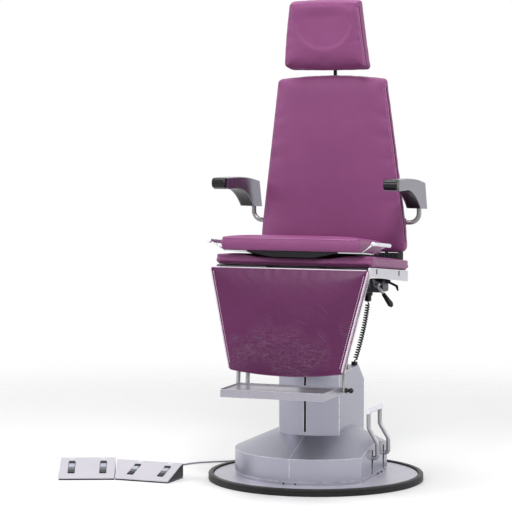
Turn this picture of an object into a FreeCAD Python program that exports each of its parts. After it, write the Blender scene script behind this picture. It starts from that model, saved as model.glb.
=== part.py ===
"""Ophthalmic examination chair, built in millimetres.

Frame: origin on the floor under the centre of the base disc, +Z up. The chair faces -Y, and the
foot lever and the hand lever are on its +X side. The chair stands as it is used: seat lifted,
backrest upright, leg rest down.
"""
import math
import os

import FreeCAD
import Part

V = FreeCAD.Vector
X_AXIS = V(1, 0, 0)
Y_AXIS = V(0, 1, 0)
Z_AXIS = V(0, 0, 1)
SIDES = (-1, 1)

# Shared clearances and allowances
OVERRUN = 5.0            # how far a cutting tool runs past what it cuts
FLAT_GAP = 0.3           # between a soft solid and its seat, and between moving faces
PIN_GAP = 0.05           # radial clearance of a hinge pin in its bore
SLIDE_GAP = 0.1          # clearance of a sliding tube or bar on each side
SEAM_GAP = 0.6           # open seam between two covers
MOVE_GAP = 1.0           # side clearance between a moving arm and the fork that holds it

# Base disc and its rubber rim
DISC_R = 340.0
RIM_W = 15.0
RIM_H = 22.0
RIM_ROUND = 4.0
RIM_LINE = 1.5           # groove round the outside of the rim
DISC_T = 17.0
GROOVE_W = 3.3           # groove between disc and rim
GROOVE_DEPTH = 6.0

# Base covers over the drive
AXIS_Y = 40.0            # the column and the swivel stand behind the disc's centre
PLINTH_R = 254.0
PLINTH_H = 11.0
PLINTH_W = 12.0
SHADOW_GAP = 2.5         # dark joint between the plinth and the covers
SPIGOT_H = 20.0          # of the plinth's inner ring that carries the covers
SPIGOT_T = 5.0
SKIRT_R = 256.0
SKIRT_H = 69.0
SKIRT_FLAT_X = 200.0     # flat face for the foot lever
SKIRT_CHAMFER_Y = 117.0  # where the flat turns away to the rear
SKIRT_CHAMFER = 30.0     # degrees
CONE_TOP_R = 110.0
CONE_H = 65.5
CONE_REACH = 1.2         # the cone runs on under the column, in shares of its height
COVER_T = 4.0
COVER_SCREW_R = 3.0
COVER_SCREW_H = 2.5
COVER_SCREW_OFF = 19.0   # from the seam, along the plinth
COVER_SCREW_ANGLES = (-90.0, 10.0, 90.0)

# Column cover
COLUMN_HALF_W = 100.0
COLUMN_FRONT_Y = -67.0
COLUMN_REAR_Y = 190.0
COLUMN_FRONT_BULGE = 40.0
COLUMN_REAR_BULGE = 22.0
COLUMN_TOP_FRONT_Z = 340.0
COLUMN_TOP_Z = 352.0
COLUMN_TOP_Y = 131.0
COLUMN_SHOULDER_DROP = 52.0
COLUMN_SINK = 30.0       # how far the column cover reaches down inside the base cover
COLUMN_ROUND = 5.0
SLOT_W = 7.0
SLOT_LOW_Z = 161.0
SLOT_TOP_Z = 335.0
TIE_LOW_Z = 110.0
TIE_TOP_Z = 305.0
TIE_T = 5.0              # of the frames between the guide tube and the column cover

# Lift
GUIDE_SIDE = 118.0
GUIDE_T = 6.0
GUIDE_TOP_Z = 326.0
GUIDE_ROUND = 10.0
TUBE_T = 5.0
TUBE_TOP_Z = 575.0
TUBE_OVERLAP = 105.0     # of the lift tube in its guide, with the seat up
MOTOR_R = 34.0
MOTOR_L = 90.0
MOTOR_SHAFT_R = 9.0
HEAD_SIDE = 150.0
HEAD_T = 10.0
HEAD_ROUND = 18.0
RACE_R = 74.0
RACE_W = 16.0
RACE_H = 7.0
SWIVEL_PIN_R = 20.0
SWIVEL_PIN_L = 26.0
TABLE_R = 95.0
TABLE_T = 11.0
TABLE_EDGE = 2.0

# Yoke that carries the tilting seat
YOKE_HALF_W = 72.0
YOKE_EAR_T = 12.0
YOKE_EAR_HALF_L = 20.0
YOKE_EAR_R = 13.0
YOKE_FLOOR_T = 8.0
YOKE_HALF_L = 55.0
TILT_Z = 646.0
TILT_PIN_R = 6.0

# Seat, measured along its own slope from its front top edge
SEAT_TILT = 5.0
SEAT_FRONT_Y = -215.0
SEAT_TOP_Z = 714.6
SEAT_HALF_W = 248.5
SEAT_L = 402.0
SEAT_T = 25.5
SEAT_CORNER = 16.0
SEAT_CROWN = 3.0
PAN_T = 3.0
PAN_INSET = 10.0
PAN_LIP_H = 26.0
BEAM_W = 24.0
BEAM_H = 30.0
BEAM_T = 3.0
BEAM_INSET = 12.0
RAIL_T = 3.5
RAIL_FRONT = 19.0        # ahead of the cushion's front edge
RAIL_H_FRONT = 28.0
RAIL_H_REAR = 35.0
RAIL_ROUND = 9.0
RAIL_SLOT_W = 3.5
RAIL_SLOT_L = 15.0
RAIL_SLOT_PLACE_SHARES = (0.14, 0.74)

# Pleated cover in the gap under the backrest
PLEAT_W = 12.5
PLEAT_DEPTH = 4.0
PLEAT_WALL = 4.0
PLEAT_IN = 10.0          # from the backrest's sides
PLEAT_AHEAD = 11.0       # of the backrest's face
PLEAT_SIDE_L = 48.0

# Sliding upper seat cushion, in the seat's sloping frame
SLIDE_IN = 31.0          # from the seat's sides
SLIDE_FRONT = -34.0
SLIDE_L = 227.0
SLIDE_T = 40.0
SLIDE_RISE = 18.7
SLIDE_CORNER = 14.0
SLIDE_CROWN = 3.0
DISH_IN = 45.5           # from the upper cushion's sides
DISH_TAPER = 54.0
DISH_EDGE = 4.0
HANDLE_R = 7.0
HANDLE_L = 168.0
HANDLE_OUT = 46.0        # of the bar's axis from the upper cushion's side
HANDLE_DROP = 13.5       # of the bar's axis below the upper cushion's top
HANDLE_FRONT = 4.0       # of the bar ahead of the upper cushion's front
HANDLE_STRUT_R = 2.5
HANDLE_ARM_W = 10.0
HANDLE_ARM_T = 4.0
HANDLE_PLATE_L = 130.0
HANDLE_PLATE_T = 3.0
HANDLE_PLATE_IN = 70.0

# Junction box under the seat, with the swivel lever and the small release lever
BOX_X = 132.0
BOX_Y = 96.0
BOX_Z = 588.0
BOX_W = 58.0
BOX_L = 64.0
BOX_H = 40.0
BOX_ROUND = 5.0
BOX_RIB_T = 2.0
BOX_RIBS = 4
BOX_ARM_W = 40.0
BOX_ARM_T = 6.5
LEVER_PIVOT_IN = 9.0     # of the lever's pin from the box's outer side
LEVER_PIVOT_AHEAD = 36.0
LEVER_PIVOT_RISE = 29.0
LEVER_TOP_L = 20.0       # of the rod above its hub
LEVER_HUB_R = 9.0
LEVER_HUB_L = 12.0
LEVER_PIN_R = 4.0
LEVER_BOSS_SHARE = 1.8
LEVER_ROD_R = 4.5
LEVER_ROD_L = 36.0
LEVER_GRIP_L = 50.0
LEVER_GRIP_R = 6.0
LEVER_GRIP_END_R = 9.5
LEVER_ANGLE = 53.5       # of the lever below the horizontal
RELEASE_PIVOT_OUT = 7.0  # from the box's outer side
RELEASE_PIVOT_BACK = 36.0
RELEASE_PIVOT_RISE = 32.0
RELEASE_T = 5.0
RELEASE_HUB_R = 6.0
RELEASE_L = 34.0
RELEASE_W = 7.0
RELEASE_HOOK = 14.0
RELEASE_ANGLE = 24.0
RELEASE_PIN_R = 2.5

# Curly cord beside the column
CORD_WIRE_R = 2.2
CORD_COIL_R = 6.0
CORD_CURLS = 22
CORD_TOP_X = 131.0
CORD_TOP_Y = 130.0
CORD_TOP_Z = 556.0
CORD_FOOT_X = 87.0
CORD_FOOT_Y = 128.0
CORD_TAIL = 10.0
CLAMP_R = 11.0
CLAMP_H = 29.0
CLAMP_CHAMFER = 2.75
CLAMP_ARM_W = 20.0
SOCKET_R = 10.0
SOCKET_H = 9.0

# Leg rest, measured down from its front top edge
LEG_TOP_Y = -259.0
LEG_TOP_Z = 683.0
LEG_LEAN = 7.0
LEG_L = 312.0
LEG_TOP_IN = 0.5         # of the leg rest's top corners from the seat's sides
LEG_LOW_HALF_W = 177.0
LEG_SAG = 14.0
LEG_PAD_T = 41.0
LEG_BOARD_T = 9.0
LEG_CORNER = 12.0
LEG_CROWN = 5.0
LEG_PIVOT_DEPTH = 36.0
LEG_PIVOT_DROP = 5.0
LEG_RECESS_L = 29.0
LEG_LIP_T = 18.0
LEG_PIN_R = 5.0
KNUCKLE_R = 10.0
KNUCKLE_W = 12.0
KNUCKLE_OUT = 6.0        # from the leg rest's top corner to the knuckle

# Footrest
POST_R = 6.5
TRAY_NECK_SHARE = 1.2
POST_IN = 6.0            # of the posts' axes from the leg rest's lower corners
STAY_IN = 31.0
POST_DEPTH = 58.0        # of the posts' axes behind the leg rest's front face
POST_L = 190.0
SOCKET_WALL = 3.0
SOCKET_L = 110.0
TRAY_DROP = 56.33        # of the tray's pin below the leg rest's lower corners
TRAY_PIN_R = 4.0
TRAY_IN = 6.0            # of the tray's sides from the posts' axes
TRAY_REAR_AHEAD = 9.5    # of the pin
TRAY_L = 170.0
TRAY_TOP_RISE = 11.0     # above the pin
TRAY_H = 24.0
TRAY_SHEET = 2.5
TRAY_DISH = 4.0
TRAY_CORNER = 14.0
TRAY_EAR_T = 5.0
TRAY_EAR_IN = 16.0
KNOB_R = 8.0
KNOB_SET_SHARE = 0.7
KNOB_NECK_R = 5.5
KNOB_NECK_L = 8.0
WASHER_R = 9.0
WASHER_T = 3.0

# Backrest
BACK_AHEAD = 26.47       # of the backrest's face ahead of the seat's rear end
BACK_LOW_Z = 712.0
BACK_LEAN = 1.1
BACK_IN = 12.5           # of the backrest's lower corners from the seat's sides
BACK_TOP_HALF_W = 174.0
BACK_WAIST_H = 60.0
BACK_H = 553.0
BACK_TOP_BULGE = 14.0
BACK_PAD_T = 40.0
BACK_SHELL_T = 20.0
BACK_SHELL_WALL = 4.0
BACK_SHELL_INSET = 5.0
BACK_CORNER = 16.0
BACK_CROWN = 6.0
BACK_BOARD_T = 5.0
RECLINE_BEHIND = 12.53   # of the recline pins behind the seat's rear end
RECLINE_DROP = 22.0      # below the backrest
RECLINE_PIN_R = 7.0
RECLINE_EAR_R = 12.0
RECLINE_EAR_T = 9.0
RECLINE_IN = 76.0        # from the backrest's lower corners
BACK_ARM_H = 30.0        # of the recline arms on the back's board

# Headrest
POST_BAR_X = 10.0
POST_BAR_Y = 10.0
POST_BAR_DEPTH = 32.0    # behind the backrest's face
GUIDE_WALL = 2.0         # of the bar's guide ahead of it
GUIDE_WALL_SIDE = 4.0
POST_BAR_L = 330.0
POST_BAR_RISE = 104.0     # of the bar's top above the headrest's lower edge
HEAD_AHEAD = 66.0        # of the backrest's face
HEAD_GAP = 31.0          # between the backrest's top corners and the headrest
HEAD_LEAN = 5.8
HEAD_H = 212.0
HEAD_LOW_HALF_W = 133.0
HEAD_TOP_HALF_W = 111.0
HEAD_PAD_T = 55.0
HEAD_SHELL_T = 15.0
HEAD_CORNER = 18.0
HEAD_CROWN = 5.0
HEAD_SCOOP_R = 95.0
HEAD_SCOOP_DEPTH = 6.0
HEAD_SCOOP_SHARE = 0.55
HEAD_PIVOT_RISE = 89.0
HEAD_PIN_R = 4.0
HEAD_EAR_T = 5.0
HEAD_EAR_R = 11.0
HEAD_NECK_SHARE = 0.7
HEAD_EAR_HALF_W = 9.0

# Armrests, side view in the backrest's upright frame
ARM_OUT = 44.0           # of the arm's middle from the backrest's side
ARM_W = 46.0
ARM_AXIS_DEPTH = 36.0    # behind the backrest's face
ARM_AXIS_RISE = 95.0     # above the backrest's lower edge
ARM_TUBE_R = 7.5
ARM_BEND_R = 30.0
ARM_TUBE_H = 71.0        # of the tube above its level end
ARM_TUBE_IN = 26.0       # of the tube inside the backrest's side
ARM_BUSH_R = 13.0
ARM_ROLL_R = 16.5
ARM_ROLL_AHEAD = 312.0   # of the roll's axis ahead of the tube's
ARM_ROLL_L = 45.0
ARM_ROLL_ROUND = 4.0
# Corners of the arm: how far ahead of the tube's axis, and how far above its level end
ARM_TOP_RISE = 146.0
ARM_FRONT_AHEAD = 303.0
ARM_FLAT_AHEAD = 195.0
ARM_SHOULDER_AHEAD = 98.0
ARM_SHOULDER_RISE = 140.0
ARM_REAR_AHEAD = 5.0
ARM_REAR_RISE = 128.0
ARM_TIP_BEHIND = 19.0
ARM_TIP_RISE = 43.0
ARM_HEEL_AHEAD = 63.0
ARM_HEEL_RISE = 48.0
ARM_KNEE_AHEAD = 133.0
ARM_KNEE_RISE = 94.0
ARM_NECK_AHEAD = 227.0
ARM_NECK_RISE = 110.0
ARM_STRIP_T = 5.0
ARM_STRIP_IN = 3.0       # of the strip from the body's sides
ARM_ROUND = 5.0

# Foot lever in the flat side of the base cover
PEDAL_PIVOT_X = 155.0
PEDAL_PIVOT_Z = 78.0
PEDAL_FRONT_Y = -42.0
PEDAL_REAR_Y = 78.0
PEDAL_LEG_R = 6.5
PEDAL_SHAFT_R = 8.0
PEDAL_OUT_X = 216.0
PEDAL_TOP_X = 187.5
PEDAL_HOOK_RISE = 12.0
PEDAL_KNEE_Z = 128.0
PEDAL_BEND_Z = 175.0
PEDAL_TOP_Z = 228.0
PEDAL_BEND_R = 11.0
PEDAL_BAR_R = 8.5
PEDAL_BAR_OVER = 13.0
PEDAL_SLOT_W = 17.0
PEDAL_SLOT_TOP_Z = 107.0
BEARING_W = 14.0
BEARING_HALF_L = 20.0

# Foot control: two low wedges with two rockers each
CTRL_FRONT_H = 7.0
CTRL_CREASE_H = 41.0
CTRL_REAR_H = 46.0
CTRL_CREASE_SHARE = 0.81
CTRL_FOOT_H = 4.0
CTRL_FOOT_IN = 1.0
CTRL_WALL = 3.0
CTRL_ROUND = 2.0
CTRL_ROCKER_W = 19.0
CTRL_ROCKER_L_SHARE = 0.55
CTRL_ROCKER_H = 12.0
CTRL_ROCKER_X_SHARES = (-0.285, 0.285)
CTRL_ROCKER_PLACE_SHARE = 0.495
CTRL_ROCKER_GAP = 1.5
CTRL_ROCKER_PIN_R = 2.0
CTRL_ROCKER_DIP = 4.0    # degrees between the rocker's two halves and its middle plane
CTRL_WINDOW_L = 11.0
CTRL_WINDOW_T = 0.8
CTRL_WINDOW_SHARE = 0.91
CTRL_LEFT_W = 176.0      # at the front
CTRL_LEFT_L = 163.0
CTRL_LEFT_X = -699.0
CTRL_LEFT_Y = -207.0
CTRL_LEFT_TURN = 22.0
CTRL_RIGHT_W = 183.0
CTRL_RIGHT_L = 119.0
CTRL_RIGHT_SPREAD = 50.0  # of the rear left corner
CTRL_RIGHT_X = -491.3
CTRL_RIGHT_Y = -192.0
CTRL_RIGHT_TURN = -2.1

# Cable from the foot control to the base
CABLE_R = 2.5
GLAND_TIP_SHARE = 1.4
CABLE_EXIT_X = -16.0     # from the right control's centre, along its rear
CABLE_EXIT_Z = 14.0
CABLE_STEP = 1.0         # length that the route's points are counted in
CABLE_POINT_SHARES = (
    (-504.0, -85.0, 11.5),
    (-500.0, -46.0, 5.0),
    (-499.0, 0.0, 2.7),
    (-495.0, 50.0, 2.6),
    (-484.0, 99.0, 2.7),
    (-459.0, 141.0, 2.6),
    (-418.0, 173.0, 2.7),
    (-372.0, 203.0, 2.6),
    (-337.0, 246.0, 2.7),
    (-293.0, 288.0, 2.6),
    (-240.0, 329.0, 2.7),
    (-180.0, 358.0, 2.6),
    (-114.0, 383.0, 2.7),
    (-54.0, 395.0, 3.0),
    (-9.0, 392.0, 6.0),
    (26.0, 377.0, 14.0),
    (46.0, 354.0, 25.0),
    (50.5, 327.0, 36.0),
)
GLAND_R = 6.5
GLAND_L = 16.0
GLAND_ANGLE = 81.0       # of the gland round the skirt
GLAND_Z = 46.0

# Mains inlet at the back of the skirt
INLET_W = 28.0
INLET_H = 20.0
INLET_T = 6.0
INLET_RIM = 2.0
INLET_ANGLE = 104.0
INLET_BLADE_T = 1.6
INLET_BLADE_H = 4.0


# Worked-out places
DISC_TOP_Z = DISC_T
PLINTH_TOP_Z = DISC_TOP_Z + PLINTH_H
SKIRT_LOW_Z = PLINTH_TOP_Z + SHADOW_GAP
SKIRT_TOP_Z = SKIRT_LOW_Z + SKIRT_H
CONE_RISE = CONE_H / (SKIRT_R - CONE_TOP_R)
HEAD_TOP_Z = TUBE_TOP_Z + HEAD_T
RACE_TOP_Z = HEAD_TOP_Z + RACE_H
TABLE_LOW_Z = RACE_TOP_Z + FLAT_GAP
TABLE_TOP_Z = TABLE_LOW_Z + TABLE_T
BEAM_IN_X = YOKE_HALF_W + MOVE_GAP
BEAM_OUT_X = BEAM_IN_X + BEAM_W
RAIL_IN_X = SEAT_HALF_W - RAIL_T - MOVE_GAP / 2
BACK_T = BACK_PAD_T + BACK_SHELL_T
SEAT_REAR_Y = SEAT_FRONT_Y + SEAT_L * math.cos(math.radians(SEAT_TILT))
SLIDE_HALF_W = SEAT_HALF_W - SLIDE_IN
DISH_R = SLIDE_HALF_W - DISH_IN
DISH_FOOT_R = DISH_R - DISH_TAPER
HANDLE_X = SLIDE_HALF_W + HANDLE_OUT
LEG_TOP_HALF_W = SEAT_HALF_W - LEG_TOP_IN
POST_X = LEG_LOW_HALF_W - POST_IN
STAY_X = POST_X - STAY_IN
TRAY_HALF_W = POST_X - TRAY_IN
BACK_FRONT_Y = SEAT_REAR_Y - BACK_AHEAD
BACK_LOW_HALF_W = SEAT_HALF_W - BACK_IN
BACK_TOP_Z = BACK_LOW_Z + BACK_H
PLEAT_HALF_W = BACK_LOW_HALF_W - PLEAT_IN
PLEAT_FRONT_Y = BACK_FRONT_Y - PLEAT_AHEAD
RECLINE_Y = SEAT_REAR_Y + RECLINE_BEHIND
RECLINE_Z = BACK_LOW_Z - RECLINE_DROP
RECLINE_X = BACK_LOW_HALF_W - RECLINE_IN
POST_BAR_Y0 = BACK_FRONT_Y + POST_BAR_DEPTH
HEAD_FRONT_Y = BACK_FRONT_Y - HEAD_AHEAD
HEAD_LOW_Z = BACK_TOP_Z + HEAD_GAP
HEAD_PIVOT_Z = HEAD_LOW_Z + HEAD_PIVOT_RISE
POST_BAR_TOP_Z = HEAD_LOW_Z + POST_BAR_RISE
ARM_X = BACK_LOW_HALF_W + ARM_OUT
ARM_AXIS_Y = BACK_FRONT_Y + ARM_AXIS_DEPTH
ARM_AXIS_Z = BACK_LOW_Z + ARM_AXIS_RISE
ARM_TUBE_TOP_Z = ARM_AXIS_Z + ARM_TUBE_H
ARM_TOP_Z = ARM_AXIS_Z + ARM_TOP_RISE
ARM_ROLL_Y = ARM_AXIS_Y - ARM_ROLL_AHEAD
BOX_LOW = V(BOX_X, BOX_Y, BOX_Z)
BOX_HIGH = V(BOX_X + BOX_W, BOX_Y + BOX_L, BOX_Z + BOX_H)
LEVER_PIVOT = V(BOX_HIGH.x - LEVER_PIVOT_IN, BOX_Y - LEVER_PIVOT_AHEAD, BOX_Z + LEVER_PIVOT_RISE)
RELEASE_PIVOT = V(BOX_HIGH.x + RELEASE_PIVOT_OUT, BOX_Y + RELEASE_PIVOT_BACK, BOX_Z + RELEASE_PIVOT_RISE)
CORD_TOP = V(CORD_TOP_X, CORD_TOP_Y, CORD_TOP_Z)
CORD_FOOT = V(CORD_FOOT_X, CORD_FOOT_Y, 0)
# Width at the front, depth, how far the rear left corner spreads, centre, turn in degrees
CTRL_LEFT = (CTRL_LEFT_W, CTRL_LEFT_L, 0, V(CTRL_LEFT_X, CTRL_LEFT_Y, 0), CTRL_LEFT_TURN)
CTRL_RIGHT = (CTRL_RIGHT_W, CTRL_RIGHT_L, CTRL_RIGHT_SPREAD, V(CTRL_RIGHT_X, CTRL_RIGHT_Y, 0),
              CTRL_RIGHT_TURN)


def box(low, high):
    """Axis-aligned block between two corners."""
    size = high - low
    return Part.makeBox(size.x, size.y, size.z, low)


def rod(start, end, radius):
    """Round bar from one point to another."""
    return Part.makeCylinder(radius, (end - start).Length, start, end - start)


def cone(start, end, radius_start, radius_end):
    """Tapered round bar from one point to another."""
    return Part.makeCone(radius_start, radius_end, (end - start).Length, start, end - start)


def joined(shapes):
    """One solid from touching pieces."""
    first = shapes[0]
    if len(shapes) == 1:
        return first
    return first.fuse(shapes[1:]).removeSplitter()


def rounded_wire(points, radii, closed=True):
    """Wire of straight runs joined by tangent arcs, one radius for each point."""
    count = len(points)
    cuts = []
    for i, point in enumerate(points):
        if not closed and i in (0, count - 1):
            cuts.append((point, point, None))
            continue
        before = (points[i - 1] - point).normalize()
        after = (points[(i + 1) % count] - point).normalize()
        half = before.getAngle(after) / 2
        if radii[i] <= 0 or abs(half - math.pi / 2) < 1e-6:
            cuts.append((point, point, None))
            continue
        reach = radii[i] / math.tan(half)
        middle = (before + after).normalize()
        apex = point + middle * (radii[i] / math.sin(half) - radii[i])
        cuts.append((point + before * reach, point + after * reach, apex))
    edges = []
    for i, (enter, leave, apex) in enumerate(cuts):
        if apex is not None:
            edges.append(Part.Arc(enter, apex, leave).toShape())
        last = i == count - 1
        if last and not closed:
            break
        following = cuts[(i + 1) % count][0]
        if (following - leave).Length > 1e-6:
            edges.append(Part.LineSegment(leave, following).toShape())
    return Part.Wire(edges)


def plate(points, radii, thickness):
    """Flat piece from an outline with rounded corners, thickened along a vector."""
    return Part.Face(rounded_wire(points, radii)).extrude(thickness)


def side_plate(outline, radii, x_low, x_high):
    """Piece with its outline in the side view (y, z), between two x values."""
    points = [V(x_low, p.y, p.z) for p in outline]
    return plate(points, radii, V(x_high - x_low, 0, 0))


def rect_points(half_x, y_low, y_high, z):
    return [V(-half_x, y_low, z), V(half_x, y_low, z), V(half_x, y_high, z), V(-half_x, y_high, z)]


def round_block(half_x, y_low, y_high, z_low, z_high, corner):
    """Upright block with rounded vertical corners."""
    points = rect_points(half_x, y_low, y_high, z_low)
    return plate(points, [corner] * 4, V(0, 0, z_high - z_low))


def rounded_edges(shape, radius, wanted):
    """Round the edges that the test picks."""
    edges = [e for e in shape.Edges if wanted(e)]
    return shape.makeFillet(radius, edges)


def placed(shape, origin, tilt):
    """Turn a piece about X by degrees, then move it to its origin."""
    turned = shape.copy()
    turned.rotate(V(0, 0, 0), X_AXIS, tilt)
    turned.translate(origin)
    return turned


def placed_point(point, origin, tilt):
    turn = FreeCAD.Rotation(X_AXIS, tilt)
    return turn.multVec(point) + origin


SEAT_ORIGIN = V(0, SEAT_FRONT_Y, SEAT_TOP_Z)
LEG_ORIGIN = V(0, LEG_TOP_Y, LEG_TOP_Z)
BACK_ORIGIN = V(0, BACK_FRONT_Y, BACK_LOW_Z)
HEAD_ORIGIN = V(0, HEAD_FRONT_Y, HEAD_LOW_Z)
LEG_PIVOT = placed_point(V(0, LEG_PIVOT_DEPTH, -LEG_PIVOT_DROP), LEG_ORIGIN, -LEG_LEAN)


def on_seat(shape):
    """From the seat's own frame (y back along the slope, z off it) to the chair's."""
    return placed(shape, SEAT_ORIGIN, -SEAT_TILT)


def on_leg(shape):
    """From the leg rest's frame (y behind its face, z up) to the chair's."""
    return placed(shape, LEG_ORIGIN, -LEG_LEAN)


def on_back(shape):
    return placed(shape, BACK_ORIGIN, BACK_LEAN)


def on_head(shape):
    return placed(shape, HEAD_ORIGIN, HEAD_LEAN)


def crowned(outline_at, thickness, crown, draw):
    """Cushion: sides that draw in at the seam and swell between, and a crowned face.

    outline_at(inset, level) gives the closed wire of one section.
    """
    steps = ((draw, 0.0), (0.0, 0.3), (0.0, 0.62), (draw * 0.8, 0.86))
    levels = [(inset, (thickness - crown) * share) for inset, share in steps]
    levels.append((draw * 2.2, thickness - crown))
    sections = [outline_at(inset, level) for inset, level in levels]
    body = Part.makeLoft(sections, True, False)
    swell = [outline_at(draw * 2.2, thickness - crown),
             outline_at(draw * 5, thickness - crown * 0.4),
             outline_at(draw * 11, thickness)]
    return joined([body, Part.makeLoft(swell, True, False)])


def rim_profile():
    """Half section of the rubber rim, revolved round Z."""
    inner = DISC_R - RIM_W
    middle = RIM_H / 2
    points = [V(inner, 0, 0), V(DISC_R - RIM_LINE, 0, 0), V(DISC_R, 0, RIM_LINE),
              V(DISC_R, 0, middle - RIM_LINE), V(DISC_R - RIM_LINE, 0, middle),
              V(DISC_R, 0, middle + RIM_LINE), V(DISC_R, 0, RIM_H), V(inner, 0, RIM_H)]
    radii = [0, 0, 0, 0, 0, 0, RIM_ROUND, RIM_LINE / 2]
    return Part.Face(rounded_wire(points, radii))


def base_disc():
    disc = Part.makeCylinder(DISC_R - RIM_W, DISC_T)
    groove = Part.makeCylinder(DISC_R, GROOVE_DEPTH, V(0, 0, DISC_T - GROOVE_DEPTH))
    keep = Part.makeCylinder(DISC_R - RIM_W - GROOVE_W, DISC_T)
    return disc.cut(groove.cut(keep))


def disc_rim():
    return rim_profile().revolve(V(0, 0, 0), Z_AXIS, 360)


def beside_flat(offset, z_low, z_high):
    """Block outside the lever's flat and its rear chamfer, to cut the round skirt with."""
    x = SKIRT_FLAT_X - offset
    turn = math.radians(SKIRT_CHAMFER)
    knee = SKIRT_CHAMFER_Y - offset * math.tan(turn / 2)
    reach = SKIRT_R
    points = [V(x, -SKIRT_R, z_low), V(x + reach, -SKIRT_R, z_low), V(x + reach, SKIRT_R * 2, z_low),
              V(x - reach * math.sin(turn), knee + reach * math.cos(turn), z_low), V(x, knee, z_low)]
    return plate(points, [0] * 5, V(0, 0, z_high - z_low))


def skirt_ring(outer, inner, z_low, z_high):
    """Ring that follows the skirt's plan, between two offsets from its face."""
    outside = Part.makeCylinder(SKIRT_R - outer, z_high - z_low, V(0, 0, z_low))
    outside = outside.cut(beside_flat(outer, z_low - OVERRUN, z_high + OVERRUN))
    inside = Part.makeCylinder(SKIRT_R - inner, z_high - z_low + 2 * OVERRUN, V(0, 0, z_low - OVERRUN))
    inside = inside.cut(beside_flat(inner, z_low - 2 * OVERRUN, z_high + 2 * OVERRUN))
    return outside.cut(inside)


def base_plinth():
    """Low ring on the disc with an inner spigot for the covers."""
    edge = SKIRT_R - PLINTH_R
    ring = skirt_ring(edge, PLINTH_W, DISC_TOP_Z, PLINTH_TOP_Z)
    spigot = skirt_ring(COVER_T, COVER_T + SPIGOT_T, DISC_TOP_Z, PLINTH_TOP_Z + SPIGOT_H)
    body = joined([ring, spigot])
    for y in (PEDAL_FRONT_Y, PEDAL_REAR_Y):
        body = body.cut(box(V(SKIRT_FLAT_X - COVER_T * 4, y - PEDAL_SLOT_W / 2, PLINTH_TOP_Z),
                            V(SKIRT_R, y + PEDAL_SLOT_W / 2, SKIRT_TOP_Z)))
    for screw in cover_screws():
        body = body.cut(screw)
    return body


def cone_circle(share, offset, drop):
    """One level of the oblique cone over the skirt."""
    radius = SKIRT_R + (CONE_TOP_R - SKIRT_R) * share - offset
    return Part.Wire([Part.makeCircle(radius, V(0, AXIS_Y * share, SKIRT_TOP_Z + CONE_H * share - drop),
                                      Z_AXIS)])


def cover_body(drop):
    """Skirt and cone as one solid, lowered for the hollow."""
    skirt = Part.makeCylinder(SKIRT_R, SKIRT_H, V(0, 0, SKIRT_LOW_Z - drop))
    cone_top = Part.makeLoft([cone_circle(0, 0, drop), cone_circle(CONE_REACH, 0, drop)], True, True)
    return joined([skirt, cone_top])


def column_outline(offset, z):
    """Plan of the column cover: flat sides, bowed front and rear."""
    half = COLUMN_HALF_W - offset
    front = COLUMN_FRONT_Y + offset
    rear = COLUMN_REAR_Y - offset
    corners = [V(-half, front, z), V(half, front, z), V(half, rear, z), V(-half, rear, z)]
    nose = V(0, COLUMN_FRONT_Y - COLUMN_FRONT_BULGE + offset, z)
    tail = V(0, COLUMN_REAR_Y + COLUMN_REAR_BULGE - offset, z)
    edges = [Part.Arc(corners[0], nose, corners[1]).toShape(),
             Part.LineSegment(corners[1], corners[2]).toShape(),
             Part.Arc(corners[2], tail, corners[3]).toShape(),
             Part.LineSegment(corners[3], corners[0]).toShape()]
    return Part.Wire(edges)


def column_prism(offset, z_low, z_high):
    return Part.Face(column_outline(offset, z_low)).extrude(V(0, 0, z_high - z_low))


def column_foot_z():
    """Lowest place where the cone meets the column cover."""
    return SKIRT_TOP_Z + CONE_H / 2


def base_covers():
    """Left and right shells over the drive, with lever slots on the right."""
    peak = SKIRT_TOP_Z + SKIRT_R
    drop = COVER_T * math.hypot(1, CONE_RISE)
    room = Part.makeCylinder(SKIRT_R - COVER_T, peak, V(0, 0, 0)).cut(beside_flat(COVER_T, 0, peak))
    shell = cover_body(0).cut(beside_flat(0, 0, peak))
    shell = shell.cut(cover_body(drop).common(room))
    shell = shell.cut(column_prism(-SEAM_GAP, 0, peak))
    for y in (PEDAL_FRONT_Y, PEDAL_REAR_Y):
        slot = box(V(SKIRT_FLAT_X - COVER_T - OVERRUN, y - PEDAL_SLOT_W / 2, PLINTH_TOP_Z),
                   V(SKIRT_FLAT_X + OVERRUN, y + PEDAL_SLOT_W / 2, PEDAL_SLOT_TOP_Z))
        shell = shell.cut(slot)
    reach = SKIRT_R + OVERRUN
    covers = []
    for side in SIDES:
        x_near = side * SEAM_GAP / 2
        x_far = side * reach
        keep = box(V(min(x_near, x_far), -reach, 0), V(max(x_near, x_far), reach, peak))
        covers.append(shell.common(keep))
    return covers


def cover_screws():
    """Dome-headed screws low on the plinth, in pairs beside the seams and at the flat."""
    screws = []
    sink = COVER_SCREW_H
    for angle in COVER_SCREW_ANGLES:
        for side in SIDES:
            turn = math.radians(angle) + side * COVER_SCREW_OFF / PLINTH_R
            out = V(math.cos(turn), math.sin(turn), 0)
            reach = PLINTH_R
            flat = SKIRT_FLAT_X - (SKIRT_R - PLINTH_R)
            if out.x * reach > flat:
                base = V(flat, out.y * reach, (DISC_TOP_Z + PLINTH_TOP_Z) / 2)
                out = V(1, 0, 0)
            else:
                base = V(0, 0, (DISC_TOP_Z + PLINTH_TOP_Z) / 2) + out * reach
            head = rod(base - out * sink, base + out * COVER_SCREW_H, COVER_SCREW_R)
            screws.append(head)
    return screws


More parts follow.
